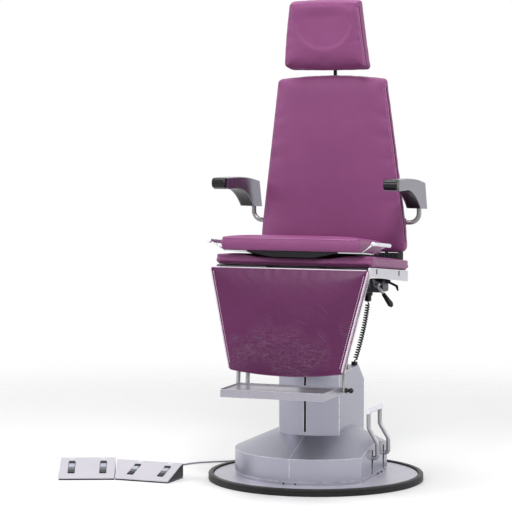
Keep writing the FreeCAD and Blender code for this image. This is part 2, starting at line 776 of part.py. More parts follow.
def column_side_cut():
    """Side profile of the column: rising top and sloped rear shoulder."""
    reach = COLUMN_HALF_W + OVERRUN
    front = COLUMN_FRONT_Y - COLUMN_FRONT_BULGE - OVERRUN
    slope = (COLUMN_TOP_Z - COLUMN_TOP_FRONT_Z) / (COLUMN_TOP_Y - COLUMN_FRONT_Y)
    front_z = COLUMN_TOP_Z - slope * (COLUMN_TOP_Y - front)
    fall = COLUMN_SHOULDER_DROP / (COLUMN_REAR_Y - COLUMN_TOP_Y)
    rear = COLUMN_REAR_Y + COLUMN_REAR_BULGE + OVERRUN
    rear_z = COLUMN_TOP_Z - fall * (rear - COLUMN_TOP_Y)
    outline = [V(0, front, 0), V(0, rear, 0), V(0, rear, rear_z), V(0, COLUMN_TOP_Y, COLUMN_TOP_Z),
               V(0, front, front_z)]
    return side_plate(outline, [0, 0, 0, COLUMN_ROUND, 0], -reach, reach)


def column_room(z_low, z_high):
    """Space inside the column cover between two levels."""
    lowered = column_side_cut()
    lowered.translate(V(0, 0, -COVER_T))
    return column_prism(COVER_T, z_low, z_high).common(lowered)


def column_covers():
    """Front shell with its slot, and rear shell with the sides and the top."""
    low = column_foot_z() - COLUMN_SINK * 2
    outer = column_prism(0, low, COLUMN_TOP_Z + OVERRUN).common(column_side_cut())
    shell = outer.cut(column_room(low - OVERRUN, COLUMN_TOP_Z + OVERRUN))
    half = GUIDE_SIDE / 2 - GUIDE_T + MOVE_GAP
    opening = round_block(half, AXIS_Y - half, AXIS_Y + half, COLUMN_TOP_FRONT_Z - COVER_T * 4,
                          COLUMN_TOP_Z + OVERRUN, GUIDE_ROUND - GUIDE_T)
    shell = shell.cut(opening)
    nose_y = COLUMN_FRONT_Y - COLUMN_FRONT_BULGE
    slot = plate([V(-SLOT_W / 2, nose_y - OVERRUN, SLOT_LOW_Z), V(SLOT_W / 2, nose_y - OVERRUN, SLOT_LOW_Z),
                  V(SLOT_W / 2, nose_y - OVERRUN, SLOT_TOP_Z), V(-SLOT_W / 2, nose_y - OVERRUN, SLOT_TOP_Z)],
                 [SLOT_W / 2 - SLIDE_GAP] * 4, V(0, COVER_T + 2 * OVERRUN, 0))
    shell = shell.cut(slot)
    reach = COLUMN_HALF_W + OVERRUN
    split_y = COLUMN_FRONT_Y + SEAM_GAP / 2
    front_keep = box(V(-reach, nose_y - OVERRUN, 0),
                     V(reach, split_y - SEAM_GAP / 2, COLUMN_TOP_Z + OVERRUN))
    rear_keep = box(V(-reach, split_y + SEAM_GAP / 2, 0),
                    V(reach, COLUMN_REAR_Y + COLUMN_REAR_BULGE + OVERRUN, COLUMN_TOP_Z + OVERRUN))
    return shell.common(front_keep), shell.common(rear_keep)


def square_tube(side, wall, corner, z_low, z_high):
    half = side / 2
    outer = round_block(half, AXIS_Y - half, AXIS_Y + half, z_low, z_high, corner)
    inner_half = half - wall
    inner = round_block(inner_half, AXIS_Y - inner_half, AXIS_Y + inner_half, z_low - OVERRUN,
                        z_high + OVERRUN, corner - wall)
    return outer.cut(inner)


def lift_tube():
    side = GUIDE_SIDE - 2 * GUIDE_T - 2 * SLIDE_GAP
    low = GUIDE_TOP_Z - TUBE_OVERLAP
    return square_tube(side, TUBE_T, TUBE_T + SLIDE_GAP, low, TUBE_TOP_Z)


def guide_tube():
    """Fixed column tube on its foot flange."""
    tube = square_tube(GUIDE_SIDE, GUIDE_T, GUIDE_ROUND, DISC_TOP_Z, GUIDE_TOP_Z)
    flange = round_block(GUIDE_SIDE, AXIS_Y - GUIDE_SIDE, AXIS_Y + GUIDE_SIDE, DISC_TOP_Z,
                         DISC_TOP_Z + GUIDE_T * 2, GUIDE_ROUND)
    half = GUIDE_SIDE / 2 - GUIDE_T
    hole = round_block(half, AXIS_Y - half, AXIS_Y + half, 0, GUIDE_TOP_Z, GUIDE_ROUND - GUIDE_T)
    ties = [column_room(z, z + TIE_T) for z in (TIE_LOW_Z, TIE_TOP_Z)]
    return joined([tube, flange] + ties).cut(hole)


def lift_motor():
    """Geared motor lying behind the guide tube on the flange."""
    y = AXIS_Y + GUIDE_SIDE / 2 + MOTOR_R
    z = DISC_TOP_Z + GUIDE_T * 2 + MOTOR_R
    body = rod(V(-MOTOR_L, y, z), V(MOTOR_L / 3, y, z), MOTOR_R)
    gear = box(V(MOTOR_L / 3, y - MOTOR_R, z - MOTOR_R), V(MOTOR_L, y + MOTOR_R, z + MOTOR_R))
    shaft = rod(V(MOTOR_L, y, z), V(MOTOR_L + MOTOR_SHAFT_R * 2, y, z), MOTOR_SHAFT_R)
    return joined([body, gear, shaft])


def lift_head():
    """Top plate of the lift with the lower bearing race and the cord's bracket."""
    half = HEAD_SIDE / 2
    top = round_block(half, AXIS_Y - half, AXIS_Y + half, TUBE_TOP_Z, HEAD_TOP_Z, HEAD_ROUND)
    center = V(0, AXIS_Y, HEAD_TOP_Z)
    race = Part.makeCylinder(RACE_R, RACE_H, center).cut(Part.makeCylinder(RACE_R - RACE_W, RACE_H, center))
    start = V(half - CLAMP_ARM_W, AXIS_Y + half - CLAMP_ARM_W, 0)
    end = V(CORD_TOP.x, CORD_TOP.y, 0)
    along = (end - start).normalize()
    across = V(-along.y, along.x, 0) * (CLAMP_ARM_W / 2)
    lift = V(0, 0, TUBE_TOP_Z)
    arm = plate([start - across + lift, end - across + lift, end + across + lift, start + across + lift],
                [0, 0, 0, 0], V(0, 0, HEAD_T))
    eye = Part.makeCylinder(CLAMP_R + COVER_T, HEAD_T, V(CORD_TOP.x, CORD_TOP.y, TUBE_TOP_Z))
    body = joined([top, race, arm, eye])
    bore = Part.makeCylinder(SWIVEL_PIN_R + PIN_GAP, HEAD_T + 2 * OVERRUN,
                             V(0, AXIS_Y, TUBE_TOP_Z - OVERRUN))
    clamp_hole = Part.makeCylinder(CLAMP_R, HEAD_T + 2 * OVERRUN,
                                   V(CORD_TOP.x, CORD_TOP.y, TUBE_TOP_Z - OVERRUN))
    return body.cut(bore).cut(clamp_hole)


def cord_clamp():
    """Strain relief that holds the curly cord's upper end."""
    body = Part.makeCylinder(CLAMP_R, CLAMP_H, CORD_TOP)
    edges = [e for e in body.Edges if abs(e.BoundBox.ZMin - CORD_TOP.z) < FLAT_GAP and e.Closed]
    return body.makeChamfer(CLAMP_CHAMFER, edges[:1])


def turntable():
    """Upper race, pin and yoke that turn with the seat."""
    table = Part.makeCylinder(TABLE_R, TABLE_T, V(0, AXIS_Y, TABLE_LOW_Z))
    table = table.makeChamfer(TABLE_EDGE,
                              [e for e in table.Edges if e.Closed and e.BoundBox.ZMin > TABLE_LOW_Z])
    pin = Part.makeCylinder(SWIVEL_PIN_R, SWIVEL_PIN_L, V(0, AXIS_Y, TABLE_LOW_Z - SWIVEL_PIN_L))
    floor = box(V(-YOKE_HALF_W, AXIS_Y - YOKE_HALF_L, TABLE_TOP_Z),
                V(YOKE_HALF_W, AXIS_Y + YOKE_HALF_L, TABLE_TOP_Z + YOKE_FLOOR_T))
    pieces = [table, pin, floor]
    for side in SIDES:
        inner = side * (YOKE_HALF_W - YOKE_EAR_T)
        outer = side * YOKE_HALF_W
        low = TABLE_TOP_Z
        pieces.append(box(V(min(inner, outer), AXIS_Y - YOKE_EAR_HALF_L, low),
                          V(max(inner, outer), AXIS_Y + YOKE_EAR_HALF_L, TILT_Z - YOKE_EAR_R)))
        pieces.append(box(V(min(inner, outer), AXIS_Y - YOKE_EAR_R, low),
                          V(max(inner, outer), AXIS_Y + YOKE_EAR_R, TILT_Z)))
        pieces.append(rod(V(inner, AXIS_Y, TILT_Z), V(outer, AXIS_Y, TILT_Z), YOKE_EAR_R))
    arm_y = (BOX_LOW.y + BOX_HIGH.y) / 2
    pieces.append(box(V(0, arm_y - BOX_ARM_W / 2, TABLE_LOW_Z),
                      V(BOX_LOW.x, arm_y + BOX_ARM_W / 2, TABLE_LOW_Z + BOX_ARM_T)))
    body = joined(pieces)
    return body.cut(rod(V(-SEAT_HALF_W, AXIS_Y, TILT_Z), V(SEAT_HALF_W, AXIS_Y, TILT_Z),
                        TILT_PIN_R + PIN_GAP))


def junction_box():
    """Ribbed box with the pins that carry the two levers."""
    body = box(BOX_LOW, BOX_HIGH)
    body = rounded_edges(body, BOX_ROUND,
                         lambda e: abs(e.BoundBox.YLength - (BOX_HIGH.y - BOX_LOW.y)) < FLAT_GAP)
    pieces = [body]
    pitch = (BOX_HIGH.x - BOX_LOW.x) / (BOX_RIBS + 1)
    for i in range(BOX_RIBS):
        x = BOX_LOW.x + pitch * (i + 1)
        pieces.append(box(V(x - BOX_RIB_T / 2, BOX_LOW.y + BOX_ROUND, BOX_LOW.z - BOX_RIB_T / 2),
                          V(x + BOX_RIB_T / 2, BOX_HIGH.y - BOX_ROUND, BOX_LOW.z + BOX_RIB_T)))
    pin_end = V(LEVER_PIVOT.x, LEVER_PIVOT.y - LEVER_HUB_L / 2 - MOVE_GAP, LEVER_PIVOT.z)
    boss_end = V(LEVER_PIVOT.x, LEVER_PIVOT.y + LEVER_HUB_L / 2 + MOVE_GAP, LEVER_PIVOT.z)
    pieces.append(rod(V(LEVER_PIVOT.x, BOX_LOW.y, LEVER_PIVOT.z), boss_end, LEVER_PIN_R * LEVER_BOSS_SHARE))
    pieces.append(rod(V(LEVER_PIVOT.x, BOX_LOW.y, LEVER_PIVOT.z), pin_end, LEVER_PIN_R))
    lug = box(V(BOX_HIGH.x, RELEASE_PIVOT.y + RELEASE_T / 2 + MOVE_GAP, RELEASE_PIVOT.z - RELEASE_HUB_R),
              V(RELEASE_PIVOT.x + RELEASE_HUB_R,
                RELEASE_PIVOT.y + RELEASE_T / 2 + MOVE_GAP + RELEASE_T, RELEASE_PIVOT.z + RELEASE_HUB_R))
    pieces.append(lug)
    pieces.append(rod(V(RELEASE_PIVOT.x, RELEASE_PIVOT.y - RELEASE_T / 2 - MOVE_GAP, RELEASE_PIVOT.z),
                      V(RELEASE_PIVOT.x, RELEASE_PIVOT.y + RELEASE_T / 2 + MOVE_GAP + RELEASE_T,
                        RELEASE_PIVOT.z),
                      RELEASE_PIN_R))
    return joined(pieces)


def hand_lever():
    """Steel rod with its hub, and the flared grip on its end."""
    down = math.radians(LEVER_ANGLE)
    along = V(math.cos(down), 0, -math.sin(down))
    half = V(0, LEVER_HUB_L / 2, 0)
    hub = rod(LEVER_PIVOT - half, LEVER_PIVOT + half, LEVER_HUB_R)
    start = LEVER_PIVOT - along * LEVER_TOP_L
    end = LEVER_PIVOT + along * (LEVER_ROD_L + LEVER_GRIP_L / 2)
    body = joined([hub, rod(start, end, LEVER_ROD_R)])
    body = body.cut(rod(LEVER_PIVOT - half * 2, LEVER_PIVOT + half * 2, LEVER_PIN_R + PIN_GAP))
    grip_start = LEVER_PIVOT + along * LEVER_ROD_L
    shoulder = grip_start + along * (LEVER_GRIP_L - LEVER_GRIP_END_R)
    tip = grip_start + along * LEVER_GRIP_L
    grip = joined([cone(grip_start, shoulder, LEVER_GRIP_R, LEVER_GRIP_END_R),
                   cone(shoulder, tip, LEVER_GRIP_END_R, LEVER_GRIP_END_R / 2)])
    grip = grip.cut(rod(grip_start - along, end, LEVER_ROD_R))
    return body, grip


def release_lever():
    """Small flat lever with a hooked end."""
    down = math.radians(RELEASE_ANGLE)
    along = V(math.cos(down), 0, -math.sin(down))
    across = V(math.sin(down), 0, math.cos(down)) * (RELEASE_W / 2)
    y_low = V(0, RELEASE_PIVOT.y - RELEASE_T / 2, 0)
    root = V(RELEASE_PIVOT.x, 0, RELEASE_PIVOT.z) + y_low
    end = root + along * RELEASE_L
    hook = end + V(0, 0, -RELEASE_HOOK)
    thick = V(0, RELEASE_T, 0)
    arm = plate([root - across, end - across, end + across, root + across], [0, 0, 0, 0], thick)
    claw = plate([end + across, end - V(RELEASE_W, 0, 0), hook, hook + V(RELEASE_W / 2, 0, 0)],
                 [0, 0, 0, 0], thick)
    hub = rod(root, root + thick, RELEASE_HUB_R)
    body = joined([hub, arm, claw])
    return body.cut(rod(root - thick, root + thick * 2, RELEASE_PIN_R + PIN_GAP))


def coil_path(start, end, coil_r, curls, tail):
    """Biarc helix between two points, one arc for each quarter turn, with straight tails."""
    along = (end - start).normalize()
    side = along.cross(Y_AXIS).normalize()
    other = along.cross(side)
    first = start + along * tail
    length = (end - start).Length - 2 * tail
    rise = length / curls

    def at(turns):
        angle = 2 * math.pi * turns
        return first + along * (rise * turns) + side * (coil_r * math.cos(angle)) + other * (coil_r * math.sin(angle))

    def tangent(turns):
        angle = 2 * math.pi * turns
        turn = side * (-math.sin(angle)) + other * math.cos(angle)
        return (turn * (2 * math.pi * coil_r) + along * rise).normalize()

    return at, tangent, first, first + along * length


def biarc(p0, t0, p1, t1):
    """Two tangent arcs from one point and direction to another."""
    chord = p1 - p0
    total = t0 + t1
    a = 2 * (1 - t0.dot(t1))
    b = 2 * chord.dot(total)
    c = -chord.dot(chord)
    reach = (-b + math.sqrt(b * b - 4 * a * c)) / (2 * a) if a > 1e-9 else -c / b
    q0 = p0 + t0 * reach
    q1 = p1 - t1 * reach
    middle = (q0 + q1) * 0.5

    def arc(a0, corner, a1):
        before = (a0 - corner).normalize()
        after = (a1 - corner).normalize()
        half = before.getAngle(after) / 2
        radius = (a0 - corner).Length * math.tan(half)
        bisector = (before + after).normalize()
        apex = corner + bisector * (radius / math.sin(half) - radius)
        return Part.Arc(a0, apex, a1).toShape()

    return [arc(p0, q0, middle), arc(middle, q1, p1)]


def curly_cord():
    """Unbroken curly lead from its clamp down to the column's top."""
    foot = V(CORD_FOOT.x, CORD_FOOT.y, SOCKET_TOP_Z)
    start = CORD_TOP
    at, tangent, first, last = coil_path(start, foot, CORD_COIL_R, CORD_CURLS, CORD_TAIL)
    steps = CORD_CURLS * 4
    edges = []
    down = V(0, 0, -1)
    lead = start + down * (CORD_WIRE_R * 2)
    edges.append(Part.LineSegment(start, lead).toShape())
    edges += biarc(lead, down, at(0), tangent(0))
    points = [at(0)]
    for i in range(steps):
        here = i / 4
        after = (i + 1) / 4
        edges += biarc(at(here), tangent(here), at(after), tangent(after))
        points.append(at(after))
    tail = foot + V(0, 0, CORD_WIRE_R * 2)
    edges += biarc(at(CORD_CURLS), tangent(CORD_CURLS), tail, down)
    edges.append(Part.LineSegment(tail, foot).toShape())
    wire = Part.Wire(edges)
    profile = Part.Wire([Part.makeCircle(CORD_WIRE_R, start, down)])
    tube = wire.makePipeShell([profile], True, False)
    rise = ((foot - start).Length - 2 * CORD_TAIL) / CORD_CURLS
    print("curly cord wire length", round(wire.Length, 1), "least gap between curls",
          round(rise - 2 * CORD_WIRE_R, 2))
    return Part.Solid(tube) if tube.ShapeType != "Solid" else tube


SOCKET_FOOT_Z = COLUMN_TOP_Z - (COLUMN_TOP_Z - COLUMN_TOP_FRONT_Z) \
    * (COLUMN_TOP_Y - CORD_FOOT.y) / (COLUMN_TOP_Y - COLUMN_FRONT_Y)
SOCKET_TOP_Z = SOCKET_FOOT_Z + SOCKET_H


def cord_socket():
    """Collar on the column's top that the cord goes into."""
    body = Part.makeCylinder(SOCKET_R, SOCKET_H + COVER_T,
                             V(CORD_FOOT.x, CORD_FOOT.y, SOCKET_FOOT_Z - COVER_T))
    below = column_side_cut()
    return body.cut(below)


def seat_section(half, front, length, corner):
    def wire(inset, level):
        points = rect_points(half - inset, front + inset, front + length - inset, level)
        return rounded_wire(points, [max(corner - inset / 2, corner / 2)] * 4)
    return wire


def lower_cushion():
    draw = SEAT_CROWN
    body = crowned(seat_section(SEAT_HALF_W, 0, SEAT_L, SEAT_CORNER), SEAT_T, SEAT_CROWN, draw)
    body.translate(V(0, 0, -SEAT_T))
    return on_seat(body)


def seat_pan():
    """Folded pan under the cushion with two box beams that hang on the tilt pin."""
    top = -SEAT_T - FLAT_GAP
    low = top - PAN_T
    front = PAN_INSET
    rear = SEAT_L - PAN_INSET
    pieces = [box(V(-RAIL_IN_X, front, low), V(RAIL_IN_X, rear, top))]
    lip = low - PAN_LIP_H + PAN_T
    pieces.append(box(V(-RAIL_IN_X, rear - PAN_T, lip), V(RAIL_IN_X, rear, top)))
    for side in SIDES:
        inner = side * BEAM_IN_X
        outer = side * BEAM_OUT_X
        y_low = front + BEAM_INSET
        y_high = rear - BEAM_INSET
        pieces.append(box(V(min(inner, outer), y_low, low - BEAM_H), V(max(inner, outer), y_high, low)))
    body = on_seat(joined(pieces))
    for side in SIDES:
        inner = side * (RECLINE_X - RECLINE_EAR_T / 2)
        outer = side * (RECLINE_X + RECLINE_EAR_T / 2)
        foot = placed_point(V(0, rear, low), SEAT_ORIGIN, -SEAT_TILT)
        near = RECLINE_Y - RECLINE_EAR_R + RECLINE_EAR_T / 2
        outline = [V(0, foot.y - PAN_T, foot.z - PAN_LIP_H / 2), V(0, foot.y - PAN_T, foot.z),
                   V(0, near, foot.z),
                   V(0, near, RECLINE_Z), V(0, RECLINE_Y + RECLINE_EAR_R, RECLINE_Z),
                   V(0, RECLINE_Y + RECLINE_EAR_R, foot.z - PAN_LIP_H / 2)]
        ear = side_plate(outline, [0, 0, 0, 0, 0, RECLINE_EAR_T], min(inner, outer), max(inner, outer))
        top_round = rod(V(inner, RECLINE_Y, RECLINE_Z), V(outer, RECLINE_Y, RECLINE_Z), RECLINE_EAR_R)
        body = joined([body, ear, top_round])
    axle = rod(V(-SEAT_HALF_W, AXIS_Y, TILT_Z), V(SEAT_HALF_W, AXIS_Y, TILT_Z), TILT_PIN_R)
    body = body.cut(axle)
    return body.cut(rod(V(-SEAT_HALF_W, RECLINE_Y, RECLINE_Z), V(SEAT_HALF_W, RECLINE_Y, RECLINE_Z),
                        RECLINE_PIN_R + PIN_GAP))


def side_rail(side):
    """Painted side plate with two slots, bored for the leg rest's pin."""
    top = -SEAT_T - FLAT_GAP
    outline = [V(0, -RAIL_FRONT, top), V(0, -RAIL_FRONT, top - RAIL_H_FRONT),
               V(0, SEAT_L, top - RAIL_H_REAR), V(0, SEAT_L, top)]
    inner = side * RAIL_IN_X
    outer = side * (RAIL_IN_X + RAIL_T)
    x_low = min(inner, outer)
    body = side_plate(outline, [RAIL_ROUND, RAIL_ROUND, RAIL_T, RAIL_T], x_low, x_low + RAIL_T)
    for share in RAIL_SLOT_PLACE_SHARES:
        y = SEAT_L * share
        slot = box(V(x_low - OVERRUN, y, top - RAIL_SLOT_L - RAIL_SLOT_W),
                   V(x_low + RAIL_T + OVERRUN, y + RAIL_SLOT_W, top - RAIL_SLOT_W))
        body = body.cut(slot)
    body = on_seat(body)
    return body.cut(rod(V(x_low - OVERRUN, LEG_PIVOT.y, LEG_PIVOT.z),
                        V(x_low + RAIL_T + OVERRUN, LEG_PIVOT.y, LEG_PIVOT.z), LEG_PIN_R))


def hinge_pins():
    """Pins of the seat frame: tilt axle, leg rest pins and recline pins."""
    reach = BEAM_OUT_X + COVER_T
    pins = [rod(V(-reach, AXIS_Y, TILT_Z), V(reach, AXIS_Y, TILT_Z), TILT_PIN_R)]
    for side in SIDES:
        outer = side * (RAIL_IN_X + RAIL_T)
        inner = side * (LEG_TOP_HALF_W - KNUCKLE_OUT - KNUCKLE_W - MOVE_GAP)
        pins.append(rod(V(inner, LEG_PIVOT.y, LEG_PIVOT.z), V(outer, LEG_PIVOT.y, LEG_PIVOT.z), LEG_PIN_R))
    return pins


def gap_pleats():
    """Pleated rubber skirt that closes the gap between seat and backrest."""
    base = SEAT_TOP_Z - (PLEAT_FRONT_Y - SEAT_FRONT_Y) * math.tan(math.radians(SEAT_TILT))
    rear_drop = PLEAT_SIDE_L * math.tan(math.radians(SEAT_TILT))
    top = BACK_LOW_Z - FLAT_GAP * 2
    low = base - rear_drop
    count = int(2 * PLEAT_HALF_W / PLEAT_W)
    pitch = 2 * PLEAT_HALF_W / count
    outer = []
    for i in range(count):
        x = -PLEAT_HALF_W + pitch * i
        outer.append(V(x, PLEAT_FRONT_Y + PLEAT_DEPTH, low))
        outer.append(V(x + pitch / 2, PLEAT_FRONT_Y, low))
    outer.append(V(PLEAT_HALF_W, PLEAT_FRONT_Y + PLEAT_DEPTH, low))
    side_count = int(PLEAT_SIDE_L / PLEAT_W)
    side_pitch = (PLEAT_SIDE_L - PLEAT_DEPTH) / side_count
    right = []
    for i in range(side_count):
        y = PLEAT_FRONT_Y + PLEAT_DEPTH + side_pitch * i
        right.append(V(PLEAT_HALF_W + PLEAT_DEPTH, y + side_pitch / 2, low))
        right.append(V(PLEAT_HALF_W, y + side_pitch, low))
    left = [V(-p.x, p.y, p.z) for p in reversed(right)]
    wall = PLEAT_WALL
    rear = PLEAT_FRONT_Y + PLEAT_SIDE_L
    inner = [V(PLEAT_HALF_W - wall, rear, low),
             V(PLEAT_HALF_W - wall, PLEAT_FRONT_Y + PLEAT_DEPTH + wall, low),
             V(-PLEAT_HALF_W + wall, PLEAT_FRONT_Y + PLEAT_DEPTH + wall, low),
             V(-PLEAT_HALF_W + wall, rear, low)]
    outline = left + outer + right + inner
    body = plate(outline, [0] * len(outline), V(0, 0, top - low))
    slab_half = PLEAT_HALF_W + PLEAT_DEPTH + OVERRUN
    below = box(V(-slab_half, 0, -SEAT_T), V(slab_half, SEAT_L + OVERRUN, FLAT_GAP))
    return body.cut(on_seat(below))


def slide_dish():
    """Round sliding foot of the upper cushion, hollowed towards its rim."""
    high = SLIDE_RISE - FLAT_GAP
    center_y = SLIDE_FRONT + SLIDE_L / 2
    profile = [V(0, 0, FLAT_GAP), V(DISH_FOOT_R, 0, FLAT_GAP), V(DISH_R, 0, high - DISH_EDGE),
               V(DISH_R, 0, high), V(0, 0, high)]
    face = Part.Face(rounded_wire(profile, [0, DISH_FOOT_R / 3, 0, 0, 0]))
    body = face.revolve(V(0, 0, 0), Z_AXIS, 360)
    body.translate(V(0, center_y, 0))
    front_cut = box(V(-DISH_R, center_y - DISH_R * 2, -SEAT_T),
                    V(DISH_R, SLIDE_FRONT + SLIDE_CORNER, SLIDE_RISE))
    rear_cut = box(V(-DISH_R, SLIDE_FRONT + SLIDE_L - SLIDE_CORNER, -SEAT_T),
                   V(DISH_R, center_y + DISH_R * 2, SLIDE_RISE))
    return on_seat(body.cut(front_cut).cut(rear_cut))


def upper_cushion():
    body = crowned(seat_section(SLIDE_HALF_W, SLIDE_FRONT, SLIDE_L, SLIDE_CORNER), SLIDE_T, SLIDE_CROWN,
                   SLIDE_CROWN)
    body.translate(V(0, 0, SLIDE_RISE))
    return on_seat(body)


def side_handle(side):
    """Grab bar beside the upper cushion with its front strut, rear arm and fixing plate."""
    z = SLIDE_RISE + SLIDE_T - HANDLE_DROP
    front = SLIDE_FRONT - HANDLE_FRONT
    x = side * HANDLE_X
    bar = rod(V(x, front, z), V(x, front + HANDLE_L, z), HANDLE_R)
    tips = [Part.makeSphere(HANDLE_R, V(x, front, z)), Part.makeSphere(HANDLE_R, V(x, front + HANDLE_L, z))]
    plate_high = SLIDE_RISE - FLAT_GAP
    inner = side * (SLIDE_HALF_W - HANDLE_PLATE_IN)
    outer = side * (SLIDE_HALF_W + HANDLE_ARM_T)
    plate_low = plate_high - HANDLE_PLATE_T
    base_y = SLIDE_FRONT + SLIDE_CORNER
    flat = box(V(min(inner, outer), base_y, plate_low),
               V(max(inner, outer), base_y + HANDLE_PLATE_L, plate_high))
    foot = V(side * (SLIDE_HALF_W + HANDLE_STRUT_R / 2), base_y + HANDLE_STRUT_R * 2,
             (plate_low + plate_high) / 2)
    strut = rod(foot, V(x, front + HANDLE_R, z), HANDLE_STRUT_R)
    arm_y = base_y + HANDLE_PLATE_L - HANDLE_ARM_W * 2
    arm = plate([V(outer, arm_y, plate_low), V(outer, arm_y, plate_high),
                 V(x, arm_y, z + HANDLE_ARM_T / 2), V(x, arm_y, z - HANDLE_ARM_T / 2 - HANDLE_PLATE_T)],
                [0, 0, 0, 0], V(0, HANDLE_ARM_W, 0))
    body = joined([bar] + tips + [flat, strut, arm])
    dish_center = SLIDE_FRONT + SLIDE_L / 2
    dish_room = Part.makeCylinder(DISH_R, SLIDE_RISE, V(0, dish_center, 0))
    return on_seat(body.cut(dish_room))


def leg_wire(inset, depth, low_cut=0.0, top_cut=0.0):
    """Outline of the leg rest at one depth behind its face: trapezium with a bowed lower edge."""
    slope = (LEG_TOP_HALF_W - LEG_LOW_HALF_W) / LEG_L
    top = -inset - top_cut
    low = -LEG_L + inset + low_cut
    top_half = LEG_TOP_HALF_W - inset + slope * top
    low_half = LEG_LOW_HALF_W - inset
    corner = LEG_CORNER
    rise = V(low_half - top_half, 0, low - top).normalize()
    a = V(-top_half, depth, top)
    b = V(top_half, depth, top)
    c = V(low_half, depth, low)
    d = V(-low_half, depth, low)
    sag = V(0, depth, low - LEG_SAG)
    down_left = V(-rise.x, 0, rise.z)
    edges = []
    reach = corner
    a1 = a + V(reach, 0, 0)
    a0 = a + down_left * reach
    b0 = b - V(reach, 0, 0)
    b1 = b + rise * reach
    edges.append(Part.LineSegment(a1, b0).toShape())
    edges.append(quarter(b0, b, b1))
    edges.append(Part.LineSegment(b1, c).toShape())
    edges.append(Part.Arc(c, sag, d).toShape())
    edges.append(Part.LineSegment(d, a0).toShape())
    edges.append(quarter(a0, a, a1))
    return Part.Wire(edges)


def quarter(enter, corner, leave):
    """Tangent arc at a corner from two points at the same distance from it."""
    before = (enter - corner).normalize()
    after = (leave - corner).normalize()
    half = before.getAngle(after) / 2
    radius = (enter - corner).Length * math.tan(half)
    apex = corner + (before + after).normalize() * (radius / math.sin(half) - radius)
    return Part.Arc(enter, apex, leave).toShape()


def leg_cushion():
    """Padded leg rest, thinned at the top behind for its hinge."""
    crown = LEG_CROWN
    draw = LEG_CROWN / 2
    levels = [(draw, LEG_PAD_T), (0.0, LEG_PAD_T * 0.66), (0.0, LEG_PAD_T * 0.4), (draw, crown)]
    body = Part.makeLoft([leg_wire(inset, depth) for inset, depth in levels], True, False)
    face = Part.makeLoft([leg_wire(draw, crown), leg_wire(draw * 4, crown * 0.35),
                          leg_wire(draw * 10, 0)], True, False)
    body = joined([body, face])
    reach = LEG_TOP_HALF_W + OVERRUN
    recess = box(V(-reach, LEG_LIP_T, -LEG_RECESS_L), V(reach, LEG_PAD_T + OVERRUN, OVERRUN))
    return on_leg(body.cut(recess))


def leg_board():
    """Steel board behind the pad with hinge knuckles and the footrest's sockets."""
    near = LEG_PAD_T + FLAT_GAP
    wires = [leg_wire(LEG_CROWN * 1.6, near + step, 0.0, LEG_RECESS_L) for step in (0, LEG_BOARD_T)]
    body = Part.makeLoft(wires, True, True)
    pivot = V(0, LEG_PIVOT_DEPTH, -LEG_PIVOT_DROP)
    pieces = [body]
    for side in SIDES:
        outer = side * (LEG_TOP_HALF_W - KNUCKLE_OUT)
        inner = side * (LEG_TOP_HALF_W - KNUCKLE_OUT - KNUCKLE_W)
        x_low = min(inner, outer)
        pieces.append(rod(V(x_low, pivot.y, pivot.z), V(x_low + KNUCKLE_W, pivot.y, pivot.z), KNUCKLE_R))
        outline = [V(0, pivot.y - KNUCKLE_R + MOVE_GAP * 2, pivot.z), V(0, pivot.y + KNUCKLE_R, pivot.z),
                   V(0, near + LEG_BOARD_T, -LEG_RECESS_L - KNUCKLE_R * 2),
                   V(0, near, -LEG_RECESS_L - KNUCKLE_R * 2), V(0, near, -LEG_RECESS_L + MOVE_GAP)]
        pieces.append(side_plate(outline, [0] * 5, x_low, x_low + KNUCKLE_W))
        socket_x = side * POST_X
        tops = (-LEG_L + SOCKET_L, -LEG_L + LEG_SAG)
        pieces.append(rod(V(socket_x, POST_DEPTH, tops[1]), V(socket_x, POST_DEPTH, tops[0]),
                          POST_R + SLIDE_GAP + SOCKET_WALL))
    pieces.append(rod(V(-STAY_X, POST_DEPTH, tops[1]), V(-STAY_X, POST_DEPTH, tops[0]),
                      POST_R + SLIDE_GAP + SOCKET_WALL))
    body = joined(pieces)
    for x in (-POST_X, POST_X, -STAY_X):
        body = body.cut(rod(V(x, POST_DEPTH, -LEG_L - LEG_SAG), V(x, POST_DEPTH, OVERRUN),
                            POST_R + SLIDE_GAP / 2))
    body = on_leg(body)
    return body.cut(rod(V(-SEAT_HALF_W, LEG_PIVOT.y, LEG_PIVOT.z), V(SEAT_HALF_W, LEG_PIVOT.y, LEG_PIVOT.z),
                        LEG_PIN_R + PIN_GAP))


def tray_pivot():
    """Where the posts' axes come down to the tray's pin."""
    lean = math.radians(LEG_LEAN)
    axis_y = LEG_TOP_Y + POST_DEPTH * math.cos(lean)
    axis_z = LEG_TOP_Z - POST_DEPTH * math.sin(lean)
    pivot_z = LEG_TOP_Z - LEG_L * math.cos(lean) - TRAY_DROP
    return V(0, axis_y - (axis_z - pivot_z) * math.tan(lean), pivot_z)


def footrest_posts():
    """Two posts and the stay, with the tray's pivot pin through their lower ends."""
    pivot = tray_pivot()
    lean = math.radians(LEG_LEAN)
    along = V(0, math.sin(lean), math.cos(lean))
    pieces = []
    for x in (-POST_X, POST_X, -STAY_X):
        start = V(x, pivot.y, pivot.z) - along * (POST_R * TRAY_NECK_SHARE)
        pieces.append(rod(start, start + along * POST_L, POST_R))
    pin = rod(V(-POST_X - POST_R, pivot.y, pivot.z),
              V(POST_X + POST_R + WASHER_T + KNOB_NECK_L, pivot.y, pivot.z), TRAY_PIN_R)
    return joined(pieces + [pin])


